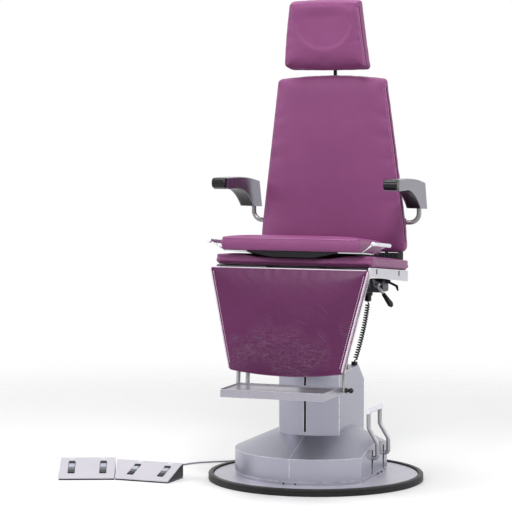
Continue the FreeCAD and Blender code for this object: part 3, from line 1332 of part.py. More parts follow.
def foot_tray():
    """Pressed tray with a shallow top and two ears on the pin."""
    pivot = tray_pivot()
    rear = pivot.y - TRAY_REAR_AHEAD
    front = rear - TRAY_L
    top = pivot.z + TRAY_TOP_RISE
    low = top - TRAY_H
    points = rect_points(TRAY_HALF_W, front, rear, low)
    radii = [TRAY_CORNER, TRAY_CORNER, TRAY_SHEET, TRAY_SHEET]
    outer = plate(points, radii, V(0, 0, TRAY_H))
    wall = TRAY_SHEET
    inner_radii = [TRAY_CORNER - wall, TRAY_CORNER - wall, wall / 2, wall / 2]
    inside = rect_points(TRAY_HALF_W - wall, front + wall, rear - wall, top - TRAY_DISH)
    dish = plate(inside, inner_radii, V(0, 0, TRAY_DISH + OVERRUN))
    below = rect_points(TRAY_HALF_W - wall, front + wall, rear - wall, low - OVERRUN)
    hollow = plate(below, inner_radii, V(0, 0, TRAY_H + OVERRUN - TRAY_DISH - wall))
    body = outer.cut(dish).cut(hollow)
    ears = []
    for side in SIDES:
        x = side * (POST_X - POST_R - TRAY_EAR_T / 2 - MOVE_GAP)
        x_low = x - TRAY_EAR_T / 2
        ears.append(box(V(x_low, rear - TRAY_EAR_IN, pivot.z - TRAY_PIN_R * 2),
                        V(x_low + TRAY_EAR_T, pivot.y, pivot.z + TRAY_PIN_R * 2)))
        ears.append(rod(V(x_low, pivot.y, pivot.z), V(x_low + TRAY_EAR_T, pivot.y, pivot.z), TRAY_PIN_R * 2))
    body = joined([body] + ears)
    bore = rod(V(-POST_X, pivot.y, pivot.z), V(POST_X, pivot.y, pivot.z), TRAY_PIN_R + PIN_GAP)
    return body.cut(bore)


def tray_knob():
    """Washer and black knob that clamp the tray's angle."""
    pivot = tray_pivot()
    x = POST_X + POST_R
    washer = rod(V(x, pivot.y, pivot.z), V(x + WASHER_T, pivot.y, pivot.z), WASHER_R)
    neck = rod(V(x + WASHER_T, pivot.y, pivot.z), V(x + WASHER_T + KNOB_NECK_L, pivot.y, pivot.z),
               KNOB_NECK_R)
    ball = Part.makeSphere(KNOB_R, V(x + WASHER_T + KNOB_NECK_L + KNOB_R * KNOB_SET_SHARE, pivot.y, pivot.z))
    body = joined([washer, neck, ball])
    return body.cut(rod(V(x - OVERRUN, pivot.y, pivot.z),
                        V(x + WASHER_T + KNOB_NECK_L, pivot.y, pivot.z), TRAY_PIN_R))


def back_wire(inset, depth):
    """Outline of the backrest at one depth behind its face."""
    low_half = BACK_LOW_HALF_W - inset
    top_half = BACK_TOP_HALF_W - inset
    top = BACK_H - inset
    points = [V(-low_half, depth, inset), V(low_half, depth, inset), V(low_half, depth, BACK_WAIST_H),
              V(top_half, depth, top), V(-top_half, depth, top), V(-low_half, depth, BACK_WAIST_H)]
    corner = BACK_CORNER
    slope = (points[3] - points[2]).normalize()
    edges = []
    right_low = quarter(points[1] - V(corner, 0, 0), points[1], points[1] + V(0, 0, corner))
    waist_in = points[2] - V(0, 0, corner)
    right_waist = quarter(waist_in, points[2], points[2] + slope * corner)
    top_in = points[3] - slope * corner
    crown_mid = V(0, depth, top + BACK_TOP_BULGE)
    right_top = points[3] - V(corner, 0, -corner * BACK_TOP_BULGE / top_half)
    edges.append(Part.LineSegment(points[0] + V(corner, 0, 0), points[1] - V(corner, 0, 0)).toShape())
    edges.append(right_low)
    edges.append(Part.LineSegment(points[1] + V(0, 0, corner), waist_in).toShape())
    edges.append(right_waist)
    edges.append(Part.LineSegment(points[2] + slope * corner, top_in).toShape())
    edges.append(Part.LineSegment(top_in, right_top).toShape())
    left_top = V(-right_top.x, depth, right_top.z)
    edges.append(Part.Arc(right_top, crown_mid, left_top).toShape())
    mirror = FreeCAD.Matrix(-1, 0, 0, 0, 0, 1, 0, 0, 0, 0, 1, 0, 0, 0, 0, 1)
    for edge in reversed(edges[1:6]):
        edges.append(edge.transformGeometry(mirror))
    return Part.Wire(Part.__sortEdges__(edges))


def pad_loft(wire_at, thickness, crown):
    """Pad whose face looks forward: drawn-in rear seam, swelling sides, crowned face."""
    draw = crown / 2
    levels = [(draw, thickness), (0.0, thickness * 0.66), (0.0, thickness * 0.38), (draw, crown)]
    body = Part.makeLoft([wire_at(inset, depth) for inset, depth in levels], True, False)
    face = Part.makeLoft([wire_at(draw, crown), wire_at(draw * 3, crown * 0.35), wire_at(draw * 6, 0)],
                         True, False)
    return joined([body, face])


def arm_bush_room():
    """Space in the backrest's sides for the armrest bushes."""
    pieces = []
    for side in SIDES:
        inner = side * (BACK_LOW_HALF_W - ARM_TUBE_IN - FLAT_GAP * 2)
        outer = side * (BACK_LOW_HALF_W + OVERRUN)
        pieces.append(rod(V(inner, ARM_AXIS_Y, ARM_AXIS_Z), V(outer, ARM_AXIS_Y, ARM_AXIS_Z),
                          ARM_BUSH_R + FLAT_GAP))
    return pieces


def bar_guide(gap):
    """Guide block of the headrest's bar, with a gap round it when it is cut out of the pad."""
    half = POST_BAR_X / 2 + SLIDE_GAP + GUIDE_WALL_SIDE + gap
    y_low = POST_BAR_Y0 - POST_BAR_Y / 2 - SLIDE_GAP - GUIDE_WALL - gap
    y_high = POST_BAR_Y0 + POST_BAR_Y / 2 + SLIDE_GAP + GUIDE_WALL
    top = BACK_TOP_Z - BACK_CORNER
    return box(V(-half, y_low, top - POST_BAR_L / 3 - gap), V(half, y_high, top + gap))


def back_cushion():
    """Padded backrest with a channel behind for the headrest's bar."""
    body = on_back(pad_loft(back_wire, BACK_PAD_T, BACK_CROWN))
    body = body.cut(bar_guide(FLAT_GAP))
    body = body.cut(box(V(-POST_BAR_X / 2 - MOVE_GAP, POST_BAR_Y0 - POST_BAR_Y / 2 - MOVE_GAP,
                          BACK_LOW_Z + BACK_H / 2),
                        V(POST_BAR_X / 2 + MOVE_GAP, POST_BAR_Y0 + BACK_T, HEAD_LOW_Z)))
    for room in arm_bush_room():
        body = body.cut(room)
    return body


def back_shell():
    """Moulded rear shell with a hollow for the frame and the headrest's bar."""
    near = BACK_PAD_T + BACK_BOARD_T + FLAT_GAP * 2
    far = BACK_PAD_T + BACK_SHELL_T
    outer = Part.makeLoft([back_wire(BACK_SHELL_INSET, near), back_wire(BACK_SHELL_INSET * 2, far)],
                          True, True)
    inner = Part.makeLoft([back_wire(BACK_SHELL_INSET + BACK_SHELL_WALL, near - OVERRUN),
                           back_wire(BACK_SHELL_INSET * 2 + BACK_SHELL_WALL,
                                     far - BACK_SHELL_WALL)], True, True)
    body = on_back(outer.cut(inner))
    for room in arm_bush_room():
        body = body.cut(room)
    slot = box(V(-POST_BAR_X / 2 - MOVE_GAP, POST_BAR_Y0 - POST_BAR_Y / 2 - MOVE_GAP,
                 BACK_LOW_Z + BACK_H / 2),
               V(POST_BAR_X / 2 + MOVE_GAP, POST_BAR_Y0 + POST_BAR_Y / 2 + MOVE_GAP, HEAD_LOW_Z))
    body = body.cut(slot)
    for side in SIDES:
        inner_x = side * (RECLINE_X + RECLINE_EAR_T / 2 + MOVE_GAP / 2)
        outer_x = side * (RECLINE_X + RECLINE_EAR_T / 2 + MOVE_GAP * 2 + RECLINE_EAR_T)
        body = body.cut(box(V(min(inner_x, outer_x), 0, RECLINE_Z),
                            V(max(inner_x, outer_x), RECLINE_Y + BACK_T,
                                                                      BACK_LOW_Z + BACK_ARM_H)))
    return body


def back_frame():
    """Steel board behind the pad with the recline arms, armrest bushes and the bar's guide."""
    near = BACK_PAD_T + FLAT_GAP
    far = near + BACK_BOARD_T
    body = on_back(Part.makeLoft([back_wire(BACK_SHELL_INSET, near), back_wire(BACK_SHELL_INSET, far)],
                                 True, True))
    pieces = [body]
    board_y = BACK_FRONT_Y + near
    for side in SIDES:
        inner = side * (RECLINE_X + RECLINE_EAR_T / 2 + MOVE_GAP)
        outer = side * (RECLINE_X + RECLINE_EAR_T * 1.5 + MOVE_GAP)
        x_low = min(inner, outer)
        outline = [V(0, RECLINE_Y - RECLINE_EAR_R, RECLINE_Z), V(0, RECLINE_Y + RECLINE_EAR_R, RECLINE_Z),
                   V(0, board_y + BACK_BOARD_T * 2, BACK_LOW_Z + BACK_ARM_H), V(0,
                                                                                board_y + BACK_BOARD_T / 2,
                                                                                BACK_LOW_Z + BACK_ARM_H),
                   V(0, board_y + BACK_BOARD_T / 2, BACK_LOW_Z - FLAT_GAP)]
        pieces.append(side_plate(outline, [0] * 5, x_low, x_low + RECLINE_EAR_T))
        pieces.append(rod(V(x_low, RECLINE_Y, RECLINE_Z),
                          V(x_low + RECLINE_EAR_T, RECLINE_Y, RECLINE_Z), RECLINE_EAR_R))
        pin_in = side * (RECLINE_X - RECLINE_EAR_T / 2 - MOVE_GAP)
        pieces.append(rod(V(pin_in, RECLINE_Y, RECLINE_Z), V(outer, RECLINE_Y, RECLINE_Z), RECLINE_PIN_R))
        bush_in = side * (BACK_LOW_HALF_W - ARM_TUBE_IN)
        bush_out = side * (BACK_LOW_HALF_W - FLAT_GAP * 2)
        pieces.append(rod(V(bush_in, ARM_AXIS_Y, ARM_AXIS_Z), V(bush_out, ARM_AXIS_Y, ARM_AXIS_Z),
                          ARM_BUSH_R))
    pieces.append(bar_guide(0))
    body = joined(pieces)
    bar_room = box(V(-POST_BAR_X / 2 - SLIDE_GAP, POST_BAR_Y0 - POST_BAR_Y / 2 - SLIDE_GAP, BACK_LOW_Z),
                   V(POST_BAR_X / 2 + SLIDE_GAP, POST_BAR_Y0 + POST_BAR_Y / 2 + SLIDE_GAP, HEAD_LOW_Z))
    body = body.cut(bar_room)
    reach = BACK_LOW_HALF_W + OVERRUN
    for side in SIDES:
        start = side * (BACK_LOW_HALF_W - ARM_TUBE_IN - OVERRUN)
        body = body.cut(rod(V(start, ARM_AXIS_Y, ARM_AXIS_Z), V(side * reach, ARM_AXIS_Y, ARM_AXIS_Z),
                            ARM_TUBE_R + PIN_GAP))
    return body


def headrest_post():
    """Sliding bar of the headrest with its pivot head."""
    bar = box(V(-POST_BAR_X / 2, POST_BAR_Y0 - POST_BAR_Y / 2, POST_BAR_TOP_Z - POST_BAR_L),
              V(POST_BAR_X / 2, POST_BAR_Y0 + POST_BAR_Y / 2, POST_BAR_TOP_Z))
    bar = rounded_edges(bar, POST_BAR_X / 5, lambda e: e.BoundBox.ZLength > POST_BAR_L / 2)
    pivot = V(0, head_pivot_y(), HEAD_PIVOT_Z)
    head = rod(V(-HEAD_EAR_HALF_W + HEAD_EAR_T, pivot.y, pivot.z),
               V(HEAD_EAR_HALF_W - HEAD_EAR_T, pivot.y, pivot.z),
               HEAD_EAR_R)
    neck = box(V(-HEAD_EAR_HALF_W + HEAD_EAR_T, pivot.y, pivot.z - HEAD_EAR_R * HEAD_NECK_SHARE),
               V(HEAD_EAR_HALF_W - HEAD_EAR_T, POST_BAR_Y0, pivot.z + HEAD_EAR_R * HEAD_NECK_SHARE))
    body = joined([bar, head, neck])
    return body.cut(rod(V(-HEAD_EAR_HALF_W, pivot.y, pivot.z), V(HEAD_EAR_HALF_W, pivot.y, pivot.z),
                        HEAD_PIN_R + PIN_GAP))


def head_pivot_y():
    """The headrest tilts on ears just behind its shell."""
    lean = math.radians(HEAD_LEAN)
    rear = HEAD_PAD_T + HEAD_SHELL_T
    height = HEAD_PIVOT_Z - HEAD_LOW_Z
    return HEAD_FRONT_Y + rear / math.cos(lean) - height * math.tan(lean) + HEAD_EAR_R + MOVE_GAP


def head_wire(inset, depth):
    half_low = HEAD_LOW_HALF_W - inset
    half_top = HEAD_TOP_HALF_W - inset
    points = [V(-half_low, depth, inset), V(half_low, depth, inset), V(half_top, depth, HEAD_H - inset),
              V(-half_top, depth, HEAD_H - inset)]
    return rounded_wire(points, [HEAD_CORNER] * 4)


def headrest_cushion():
    """Head pad with a shallow dished face."""
    body = pad_loft(head_wire, HEAD_PAD_T, HEAD_CROWN)
    sphere_r = (HEAD_SCOOP_R ** 2 + HEAD_SCOOP_DEPTH ** 2) / (2 * HEAD_SCOOP_DEPTH)
    center = V(0, HEAD_SCOOP_DEPTH - sphere_r, HEAD_H - HEAD_SCOOP_R * HEAD_SCOOP_SHARE)
    return on_head(body.cut(Part.makeSphere(sphere_r, center)))


def headrest_shell():
    """Rear shell of the headrest with two ears and the pivot pin."""
    near = HEAD_PAD_T + FLAT_GAP
    far = HEAD_PAD_T + HEAD_SHELL_T
    outer = Part.makeLoft([head_wire(HEAD_CROWN, near), head_wire(HEAD_CROWN * 3, far)], True, True)
    inner = Part.makeLoft([head_wire(HEAD_CROWN + BACK_SHELL_WALL, near - OVERRUN),
                           head_wire(HEAD_CROWN * 3 + BACK_SHELL_WALL, far - BACK_SHELL_WALL)], True, True)
    pieces = [on_head(outer.cut(inner))]
    pivot = V(0, head_pivot_y(), HEAD_PIVOT_Z)
    root = pivot.y - HEAD_EAR_R - HEAD_SHELL_T / 3
    for side in SIDES:
        inner_x = side * (HEAD_EAR_HALF_W - HEAD_EAR_T + MOVE_GAP / 4)
        outer_x = side * HEAD_EAR_HALF_W
        low = min(inner_x, outer_x)
        high = max(inner_x, outer_x)
        pieces.append(box(V(low, root, pivot.z - HEAD_EAR_R), V(high, pivot.y, pivot.z + HEAD_EAR_R)))
        pieces.append(rod(V(low, pivot.y, pivot.z), V(high, pivot.y, pivot.z), HEAD_EAR_R))
    pieces.append(rod(V(-HEAD_EAR_HALF_W, pivot.y, pivot.z), V(HEAD_EAR_HALF_W, pivot.y, pivot.z),
                      HEAD_PIN_R))
    return joined(pieces)


def arm_point(x, ahead, rise):
    """Point of the arm's side view, from the corner where its tube turns upright."""
    return V(x, ARM_AXIS_Y - ahead, ARM_AXIS_Z + rise)


def arm_underside(x, rise):
    """Lower line of the arm from its neck to its heel, raised along itself."""
    lift = V(0, 0, rise)
    a = arm_point(x, ARM_NECK_AHEAD, ARM_NECK_RISE) + lift
    b = arm_point(x, ARM_HEEL_AHEAD, ARM_HEEL_RISE) + lift
    knee = arm_point(x, ARM_KNEE_AHEAD, ARM_KNEE_RISE) + lift
    return a, b, Part.Arc(b, knee, a).toShape()


def arm_strip(side):
    """Black strip let into the arm's underside."""
    x_low = side * ARM_X - ARM_W / 2 + ARM_STRIP_IN
    a, b, low = arm_underside(x_low, 0)
    c, d, high = arm_underside(x_low, ARM_STRIP_T)
    wire = Part.Wire([low, Part.LineSegment(a, c).toShape(), high, Part.LineSegment(d, b).toShape()])
    return Part.Face(wire).extrude(V(ARM_W - 2 * ARM_STRIP_IN, 0, 0))


def arm_roll(side, radius):
    x = side * ARM_X - ARM_ROLL_L / 2
    z = ARM_TOP_Z - ARM_ROLL_R
    return rod(V(x, ARM_ROLL_Y, z), V(x + ARM_ROLL_L, ARM_ROLL_Y, z), radius)


def armrest_body(side):
    """Cast arm that sweeps back and down to the tube, hollowed for the roll and the strip."""
    x = side * ARM_X - ARM_W / 2
    a, b, low = arm_underside(x, 0)
    front_low = arm_point(x, ARM_FRONT_AHEAD, ARM_NECK_RISE)
    front_top = arm_point(x, ARM_FRONT_AHEAD, ARM_TOP_RISE)
    flat_end = arm_point(x, ARM_FLAT_AHEAD, ARM_TOP_RISE)
    shoulder = arm_point(x, ARM_SHOULDER_AHEAD, ARM_SHOULDER_RISE)
    rear = arm_point(x, ARM_REAR_AHEAD, ARM_REAR_RISE)
    tip = arm_point(x, -ARM_TIP_BEHIND, ARM_TIP_RISE)
    edges = [Part.LineSegment(front_low, front_top).toShape(),
             Part.LineSegment(front_top, flat_end).toShape(),
             Part.Arc(flat_end, shoulder, rear).toShape(),
             Part.LineSegment(rear, tip).toShape(),
             Part.LineSegment(tip, b).toShape(),
             low,
             Part.LineSegment(a, front_low).toShape()]
    body = Part.Face(Part.Wire(edges)).extrude(V(ARM_W, 0, 0))
    body = rounded_edges(body, ARM_ROUND, lambda e: e.BoundBox.XLength < FLAT_GAP
                         and e.BoundBox.ZMax > front_low.z + ARM_ROUND and e.BoundBox.YLength > ARM_ROUND)
    axis = V(side * ARM_X, ARM_AXIS_Y, 0)
    hole = rod(axis + V(0, 0, tip.z - OVERRUN), axis + V(0, 0, ARM_TUBE_TOP_Z), ARM_TUBE_R)
    return body.cut(hole).cut(arm_roll(side, ARM_ROLL_R)).cut(arm_strip(side))


def armrest_pads(side):
    """Soft black roll across the arm's front, and the strip under the arm."""
    roll = arm_roll(side, ARM_ROLL_R)
    ends = [e for e in roll.Edges if e.Closed and e.BoundBox.XLength < FLAT_GAP]
    return [roll.makeFillet(ARM_ROLL_ROUND, ends), arm_strip(side)]


def armrest_tube(side):
    """Bent tube: the armrest turns on its level end in the backrest's side."""
    inner = side * (BACK_LOW_HALF_W - ARM_TUBE_IN + FLAT_GAP)
    points = [V(inner, ARM_AXIS_Y, ARM_AXIS_Z), V(side * ARM_X, ARM_AXIS_Y, ARM_AXIS_Z),
              V(side * ARM_X, ARM_AXIS_Y, ARM_TUBE_TOP_Z)]
    path = rounded_wire(points, [0, ARM_BEND_R, 0], False)
    profile = Part.Wire([Part.makeCircle(ARM_TUBE_R, points[0], X_AXIS)])
    return path.makePipeShell([profile], True, False)


def foot_lever():
    """Two bent legs on a shaft, and the bright bar that joins their tops."""
    legs = []
    for y in (PEDAL_FRONT_Y, PEDAL_REAR_Y):
        points = [V(PEDAL_PIVOT_X, y, PEDAL_PIVOT_Z), V(PEDAL_OUT_X, y, PEDAL_PIVOT_Z + PEDAL_HOOK_RISE / 3),
                  V(PEDAL_OUT_X, y, PEDAL_KNEE_Z), V(PEDAL_TOP_X, y, PEDAL_BEND_Z), V(PEDAL_TOP_X, y,
                                                                                      PEDAL_TOP_Z)]
        path = rounded_wire(points, [0, PEDAL_BEND_R, PEDAL_BEND_R * 2, PEDAL_BEND_R * 2, 0], False)
        start = points[1] - points[0]
        profile = Part.Wire([Part.makeCircle(PEDAL_LEG_R, points[0], start)])
        legs.append(path.makePipeShell([profile], True, False))
    shaft = rod(V(PEDAL_PIVOT_X, PEDAL_FRONT_Y - BEARING_HALF_L * 2, PEDAL_PIVOT_Z),
                V(PEDAL_PIVOT_X, PEDAL_REAR_Y + BEARING_HALF_L * 2, PEDAL_PIVOT_Z), PEDAL_SHAFT_R)
    bar = rod(V(PEDAL_TOP_X, PEDAL_FRONT_Y - PEDAL_BAR_OVER, PEDAL_TOP_Z),
              V(PEDAL_TOP_X, PEDAL_REAR_Y + PEDAL_BAR_OVER, PEDAL_TOP_Z), PEDAL_BAR_R)
    frame = joined([shaft] + legs).cut(bar)
    return frame, bar


def lever_bearings():
    """Two blocks on the disc that carry the foot lever's shaft."""
    blocks = []
    for y in (PEDAL_FRONT_Y - BEARING_HALF_L * 1.5, PEDAL_REAR_Y + BEARING_HALF_L * 1.5):
        low = V(PEDAL_PIVOT_X - BEARING_HALF_L, y - BEARING_W / 2, DISC_TOP_Z)
        high = V(PEDAL_PIVOT_X + BEARING_HALF_L, y + BEARING_W / 2, PEDAL_PIVOT_Z + PEDAL_SHAFT_R * 2)
        block = box(low, high)
        blocks.append(block.cut(rod(V(PEDAL_PIVOT_X, low.y - OVERRUN, PEDAL_PIVOT_Z),
                                    V(PEDAL_PIVOT_X, high.y + OVERRUN,
                                      PEDAL_PIVOT_Z), PEDAL_SHAFT_R + PIN_GAP)))
    return blocks


def control_plan(unit):
    """Plan of one foot control in its own frame; the rear left corner may spread."""
    width, depth, spread = unit[:3]
    half = width / 2
    return [V(-half, -depth / 2, 0), V(half, -depth / 2, 0), V(half, depth / 2, 0),
            V(-half - spread, depth / 2, 0)]


def control_top_z(depth, y):
    """Height of the sloping top, with its crease towards the rear."""
    share = (y + depth / 2) / depth
    if share < CTRL_CREASE_SHARE:
        return CTRL_FRONT_H + (CTRL_CREASE_H - CTRL_FRONT_H) * share / CTRL_CREASE_SHARE
    rear_share = (share - CTRL_CREASE_SHARE) / (1 - CTRL_CREASE_SHARE)
    return CTRL_CREASE_H + (CTRL_REAR_H - CTRL_CREASE_H) * rear_share


def control_slope(depth, y):
    """Slope of the top in degrees at one depth."""
    step = MOVE_GAP / 4
    return math.degrees(math.atan2(control_top_z(depth, y + step) - control_top_z(depth, y - step),
                                   2 * step))


def rocker_center(unit, share):
    """Pivot of one rocker in its control's own frame."""
    width, depth = unit[:2]
    y = -depth / 2 + depth * CTRL_ROCKER_PLACE_SHARE
    return V(width * share, y, control_top_z(depth, y) - CTRL_ROCKER_H / 2)


def control_wedge(unit, inset, low):
    """Wedge under the creased top, inset on every side for the hollow."""
    depth = unit[1]
    plan = control_plan(unit)
    pulled = []
    for p in plan:
        x = p.x + (inset if p.x < 0 else -inset)
        y = p.y + (inset if p.y < 0 else -inset)
        pulled.append(V(x, y, low))
    block = plate(pulled, [CTRL_ROUND] * 4, V(0, 0, CTRL_REAR_H * 2))
    reach = CTRL_REAR_H * 5
    half = depth / 2
    crease_y = -half + depth * CTRL_CREASE_SHARE
    top = [V(0, -half, control_top_z(depth, -half) - inset), V(0, crease_y, CTRL_CREASE_H - inset),
           V(0, half, CTRL_REAR_H - inset), V(0, half, CTRL_REAR_H * 3), V(0, -half, CTRL_REAR_H * 3)]
    return block.cut(side_plate(top, [0] * 5, -reach, reach))


def control_housing(unit):
    body = control_wedge(unit, 0, CTRL_FOOT_H).cut(control_wedge(unit, CTRL_WALL, -OVERRUN))
    depth = unit[1]
    length = depth * CTRL_ROCKER_L_SHARE
    for share in CTRL_ROCKER_X_SHARES:
        c = rocker_center(unit, share)
        gap = CTRL_ROCKER_GAP
        slot = box(V(-CTRL_ROCKER_W / 2 - gap, -length / 2 - gap, -CTRL_FRONT_H),
                   V(CTRL_ROCKER_W / 2 + gap, length / 2 + gap, CTRL_REAR_H))
        body = body.cut(placed(slot, c, control_slope(depth, c.y)))
    return body


def control_foot(unit):
    """Black base plate with the rockers' pivot pins."""
    plan = control_plan(unit)
    pulled = [V(p.x + (CTRL_FOOT_IN if p.x < 0 else -CTRL_FOOT_IN),
                p.y + (CTRL_FOOT_IN if p.y < 0 else -CTRL_FOOT_IN), 0) for p in plan]
    pieces = [plate(pulled, [CTRL_ROUND] * 4, V(0, 0, CTRL_FOOT_H))]
    for share in CTRL_ROCKER_X_SHARES:
        c = rocker_center(unit, share)
        half = CTRL_ROCKER_W / 2 + CTRL_ROCKER_GAP
        for side in SIDES:
            x = c.x + side * (half + CTRL_ROCKER_PIN_R)
            pieces.append(box(V(x - CTRL_ROCKER_PIN_R, c.y - CTRL_ROCKER_PIN_R * 2, CTRL_FOOT_H),
                              V(x + CTRL_ROCKER_PIN_R, c.y + CTRL_ROCKER_PIN_R * 2,
                                c.z + CTRL_ROCKER_PIN_R / 2)))
        pieces.append(rod(V(c.x - half - CTRL_ROCKER_PIN_R, c.y, c.z),
                          V(c.x + half + CTRL_ROCKER_PIN_R, c.y, c.z),
                          CTRL_ROCKER_PIN_R))
    return joined(pieces)


def control_rocker(unit, share):
    """Rocker with two pads that meet in a shallow valley over its pin."""
    depth = unit[1]
    half_l = depth * CTRL_ROCKER_L_SHARE / 2
    rise = half_l * math.tan(math.radians(CTRL_ROCKER_DIP))
    half_h = CTRL_ROCKER_H / 2
    outline = [V(0, -half_l, half_h + rise), V(0, -half_l, half_h - rise),
               V(0, -CTRL_ROCKER_PIN_R * 2, -half_h),
               V(0, CTRL_ROCKER_PIN_R * 2, -half_h), V(0, half_l, half_h - rise), V(0, half_l,
                                                                                    half_h + rise),
               V(0, 0, half_h)]
    body = side_plate(outline, [0] * 7, -CTRL_ROCKER_W / 2, CTRL_ROCKER_W / 2)
    body = body.cut(rod(V(-CTRL_ROCKER_W, 0, 0), V(CTRL_ROCKER_W, 0, 0), CTRL_ROCKER_PIN_R + PIN_GAP))
    c = rocker_center(unit, share)
    return placed(body, c, control_slope(depth, c.y))


def control_windows(unit):
    """Pale plates above the rockers, one pair for one control."""
    width, depth = unit[:2]
    y = -depth / 2 + depth * CTRL_WINDOW_SHARE
    slope = control_slope(depth, y)
    plates = []
    for share in CTRL_ROCKER_X_SHARES:
        flat = box(V(-CTRL_ROCKER_W / 2, -CTRL_WINDOW_L / 2, 0),
                   V(CTRL_ROCKER_W / 2, CTRL_WINDOW_L / 2, CTRL_WINDOW_T))
        plates.append(placed(flat, V(width * share, y, control_top_z(depth, y)), slope))
    return plates


def turned(shape, spot, angle):
    """Turn a control about Z and set it on its spot."""
    moved = shape.copy()
    moved.rotate(V(0, 0, 0), Z_AXIS, angle)
    moved.translate(spot)
    return moved


def cable_exit(off):
    """Point on the axis of the control's gland, at a distance behind the housing."""
    depth, spot, angle = CTRL_RIGHT[1], CTRL_RIGHT[3], CTRL_RIGHT[4]
    spin = FreeCAD.Rotation(Z_AXIS, angle)
    return spot + spin.multVec(V(CABLE_EXIT_X, depth / 2 + off, 0)) + V(0, 0, CABLE_EXIT_Z)


def gland_point(off):
    """Point on the axis of the base's gland, at a distance out from the skirt."""
    angle = math.radians(GLAND_ANGLE)
    return V(math.cos(angle), math.sin(angle), 0) * (SKIRT_R + off) + V(0, 0, GLAND_Z)


def cable_path():
    """The cable's route: its exit, the points chosen by hand, and the base's gland."""
    route = [V(*share) * CABLE_STEP for share in CABLE_POINT_SHARES]
    return [cable_exit(GLAND_L)] + route + [gland_point(GLAND_L * 3), gland_point(GLAND_L)]


def cable_radii(points):
    """Each bend's radius: 0.45 of its shorter run over the tangent of half its turn."""
    radii = [0]
    for i in range(1, len(points) - 1):
        before = points[i] - points[i - 1]
        after = points[i + 1] - points[i]
        turn = before.getAngle(after)
        radii.append(0.45 * min(before.Length, after.Length) / math.tan(turn / 2))
    radii.append(0)
    return radii


def control_cable():
    points = cable_path()
    radii = cable_radii(points)
    path = rounded_wire(points, radii, False)
    profile = Part.Wire([Part.makeCircle(CABLE_R, points[0], points[1] - points[0])])
    tube = path.makePipeShell([profile], True, False)
    ideal = math.pi * CABLE_R ** 2 * path.Length
    print("cable length", round(path.Length, 1), "volume over section times length",
          round(tube.Volume / ideal, 4))
    print("cable radii", [round(r) for r in radii[1:-1]], "runs",
          [round((b - a).Length) for a, b in zip(points, points[1:])])
    return tube


def cable_glands():
    """Small glands where the cable leaves the control and enters the base."""
    room = Part.makeCylinder(SKIRT_R, GLAND_R * 4, V(0, 0, GLAND_Z - GLAND_R * 2))
    first = cone(cable_exit(0), cable_exit(GLAND_L), GLAND_R, CABLE_R * GLAND_TIP_SHARE)
    return [first, cone(gland_point(-COVER_T), gland_point(GLAND_L), GLAND_R, CABLE_R * GLAND_TIP_SHARE).cut(room)]


def mains_inlet():
    """Appliance inlet in the rear of the left cover: a recessed frame with three blades."""
    angle = math.radians(INLET_ANGLE)
    out = V(math.cos(angle), math.sin(angle), 0)
    frame = box(V(-INLET_W / 2, 0, -INLET_H / 2), V(INLET_W / 2, INLET_T, INLET_H / 2))
    hollow = box(V(-INLET_W / 2 + INLET_RIM, INLET_RIM, -INLET_H / 2 + INLET_RIM),
                 V(INLET_W / 2 - INLET_RIM, INLET_T + OVERRUN, INLET_H / 2 - INLET_RIM))
    body = frame.cut(hollow)
    blades = []
    for place in (-1, 0, 1):
        x = place * INLET_W / 4
        blades.append(box(V(x - INLET_BLADE_T / 2, INLET_RIM, -INLET_BLADE_H / 2),
                          V(x + INLET_BLADE_T / 2, INLET_T - INLET_RIM / 2, INLET_BLADE_H / 2)))
    body = joined([body] + blades)
    body.rotate(V(0, 0, 0), Z_AXIS, INLET_ANGLE - 90)
    middle_z = (SKIRT_LOW_Z + SKIRT_TOP_Z) / 2
    body.translate(V(0, 0, middle_z) + out * (SKIRT_R - MOVE_GAP))
    room = Part.makeCylinder(SKIRT_R, SKIRT_TOP_Z, V(0, 0, 0))
    return body.cut(room)


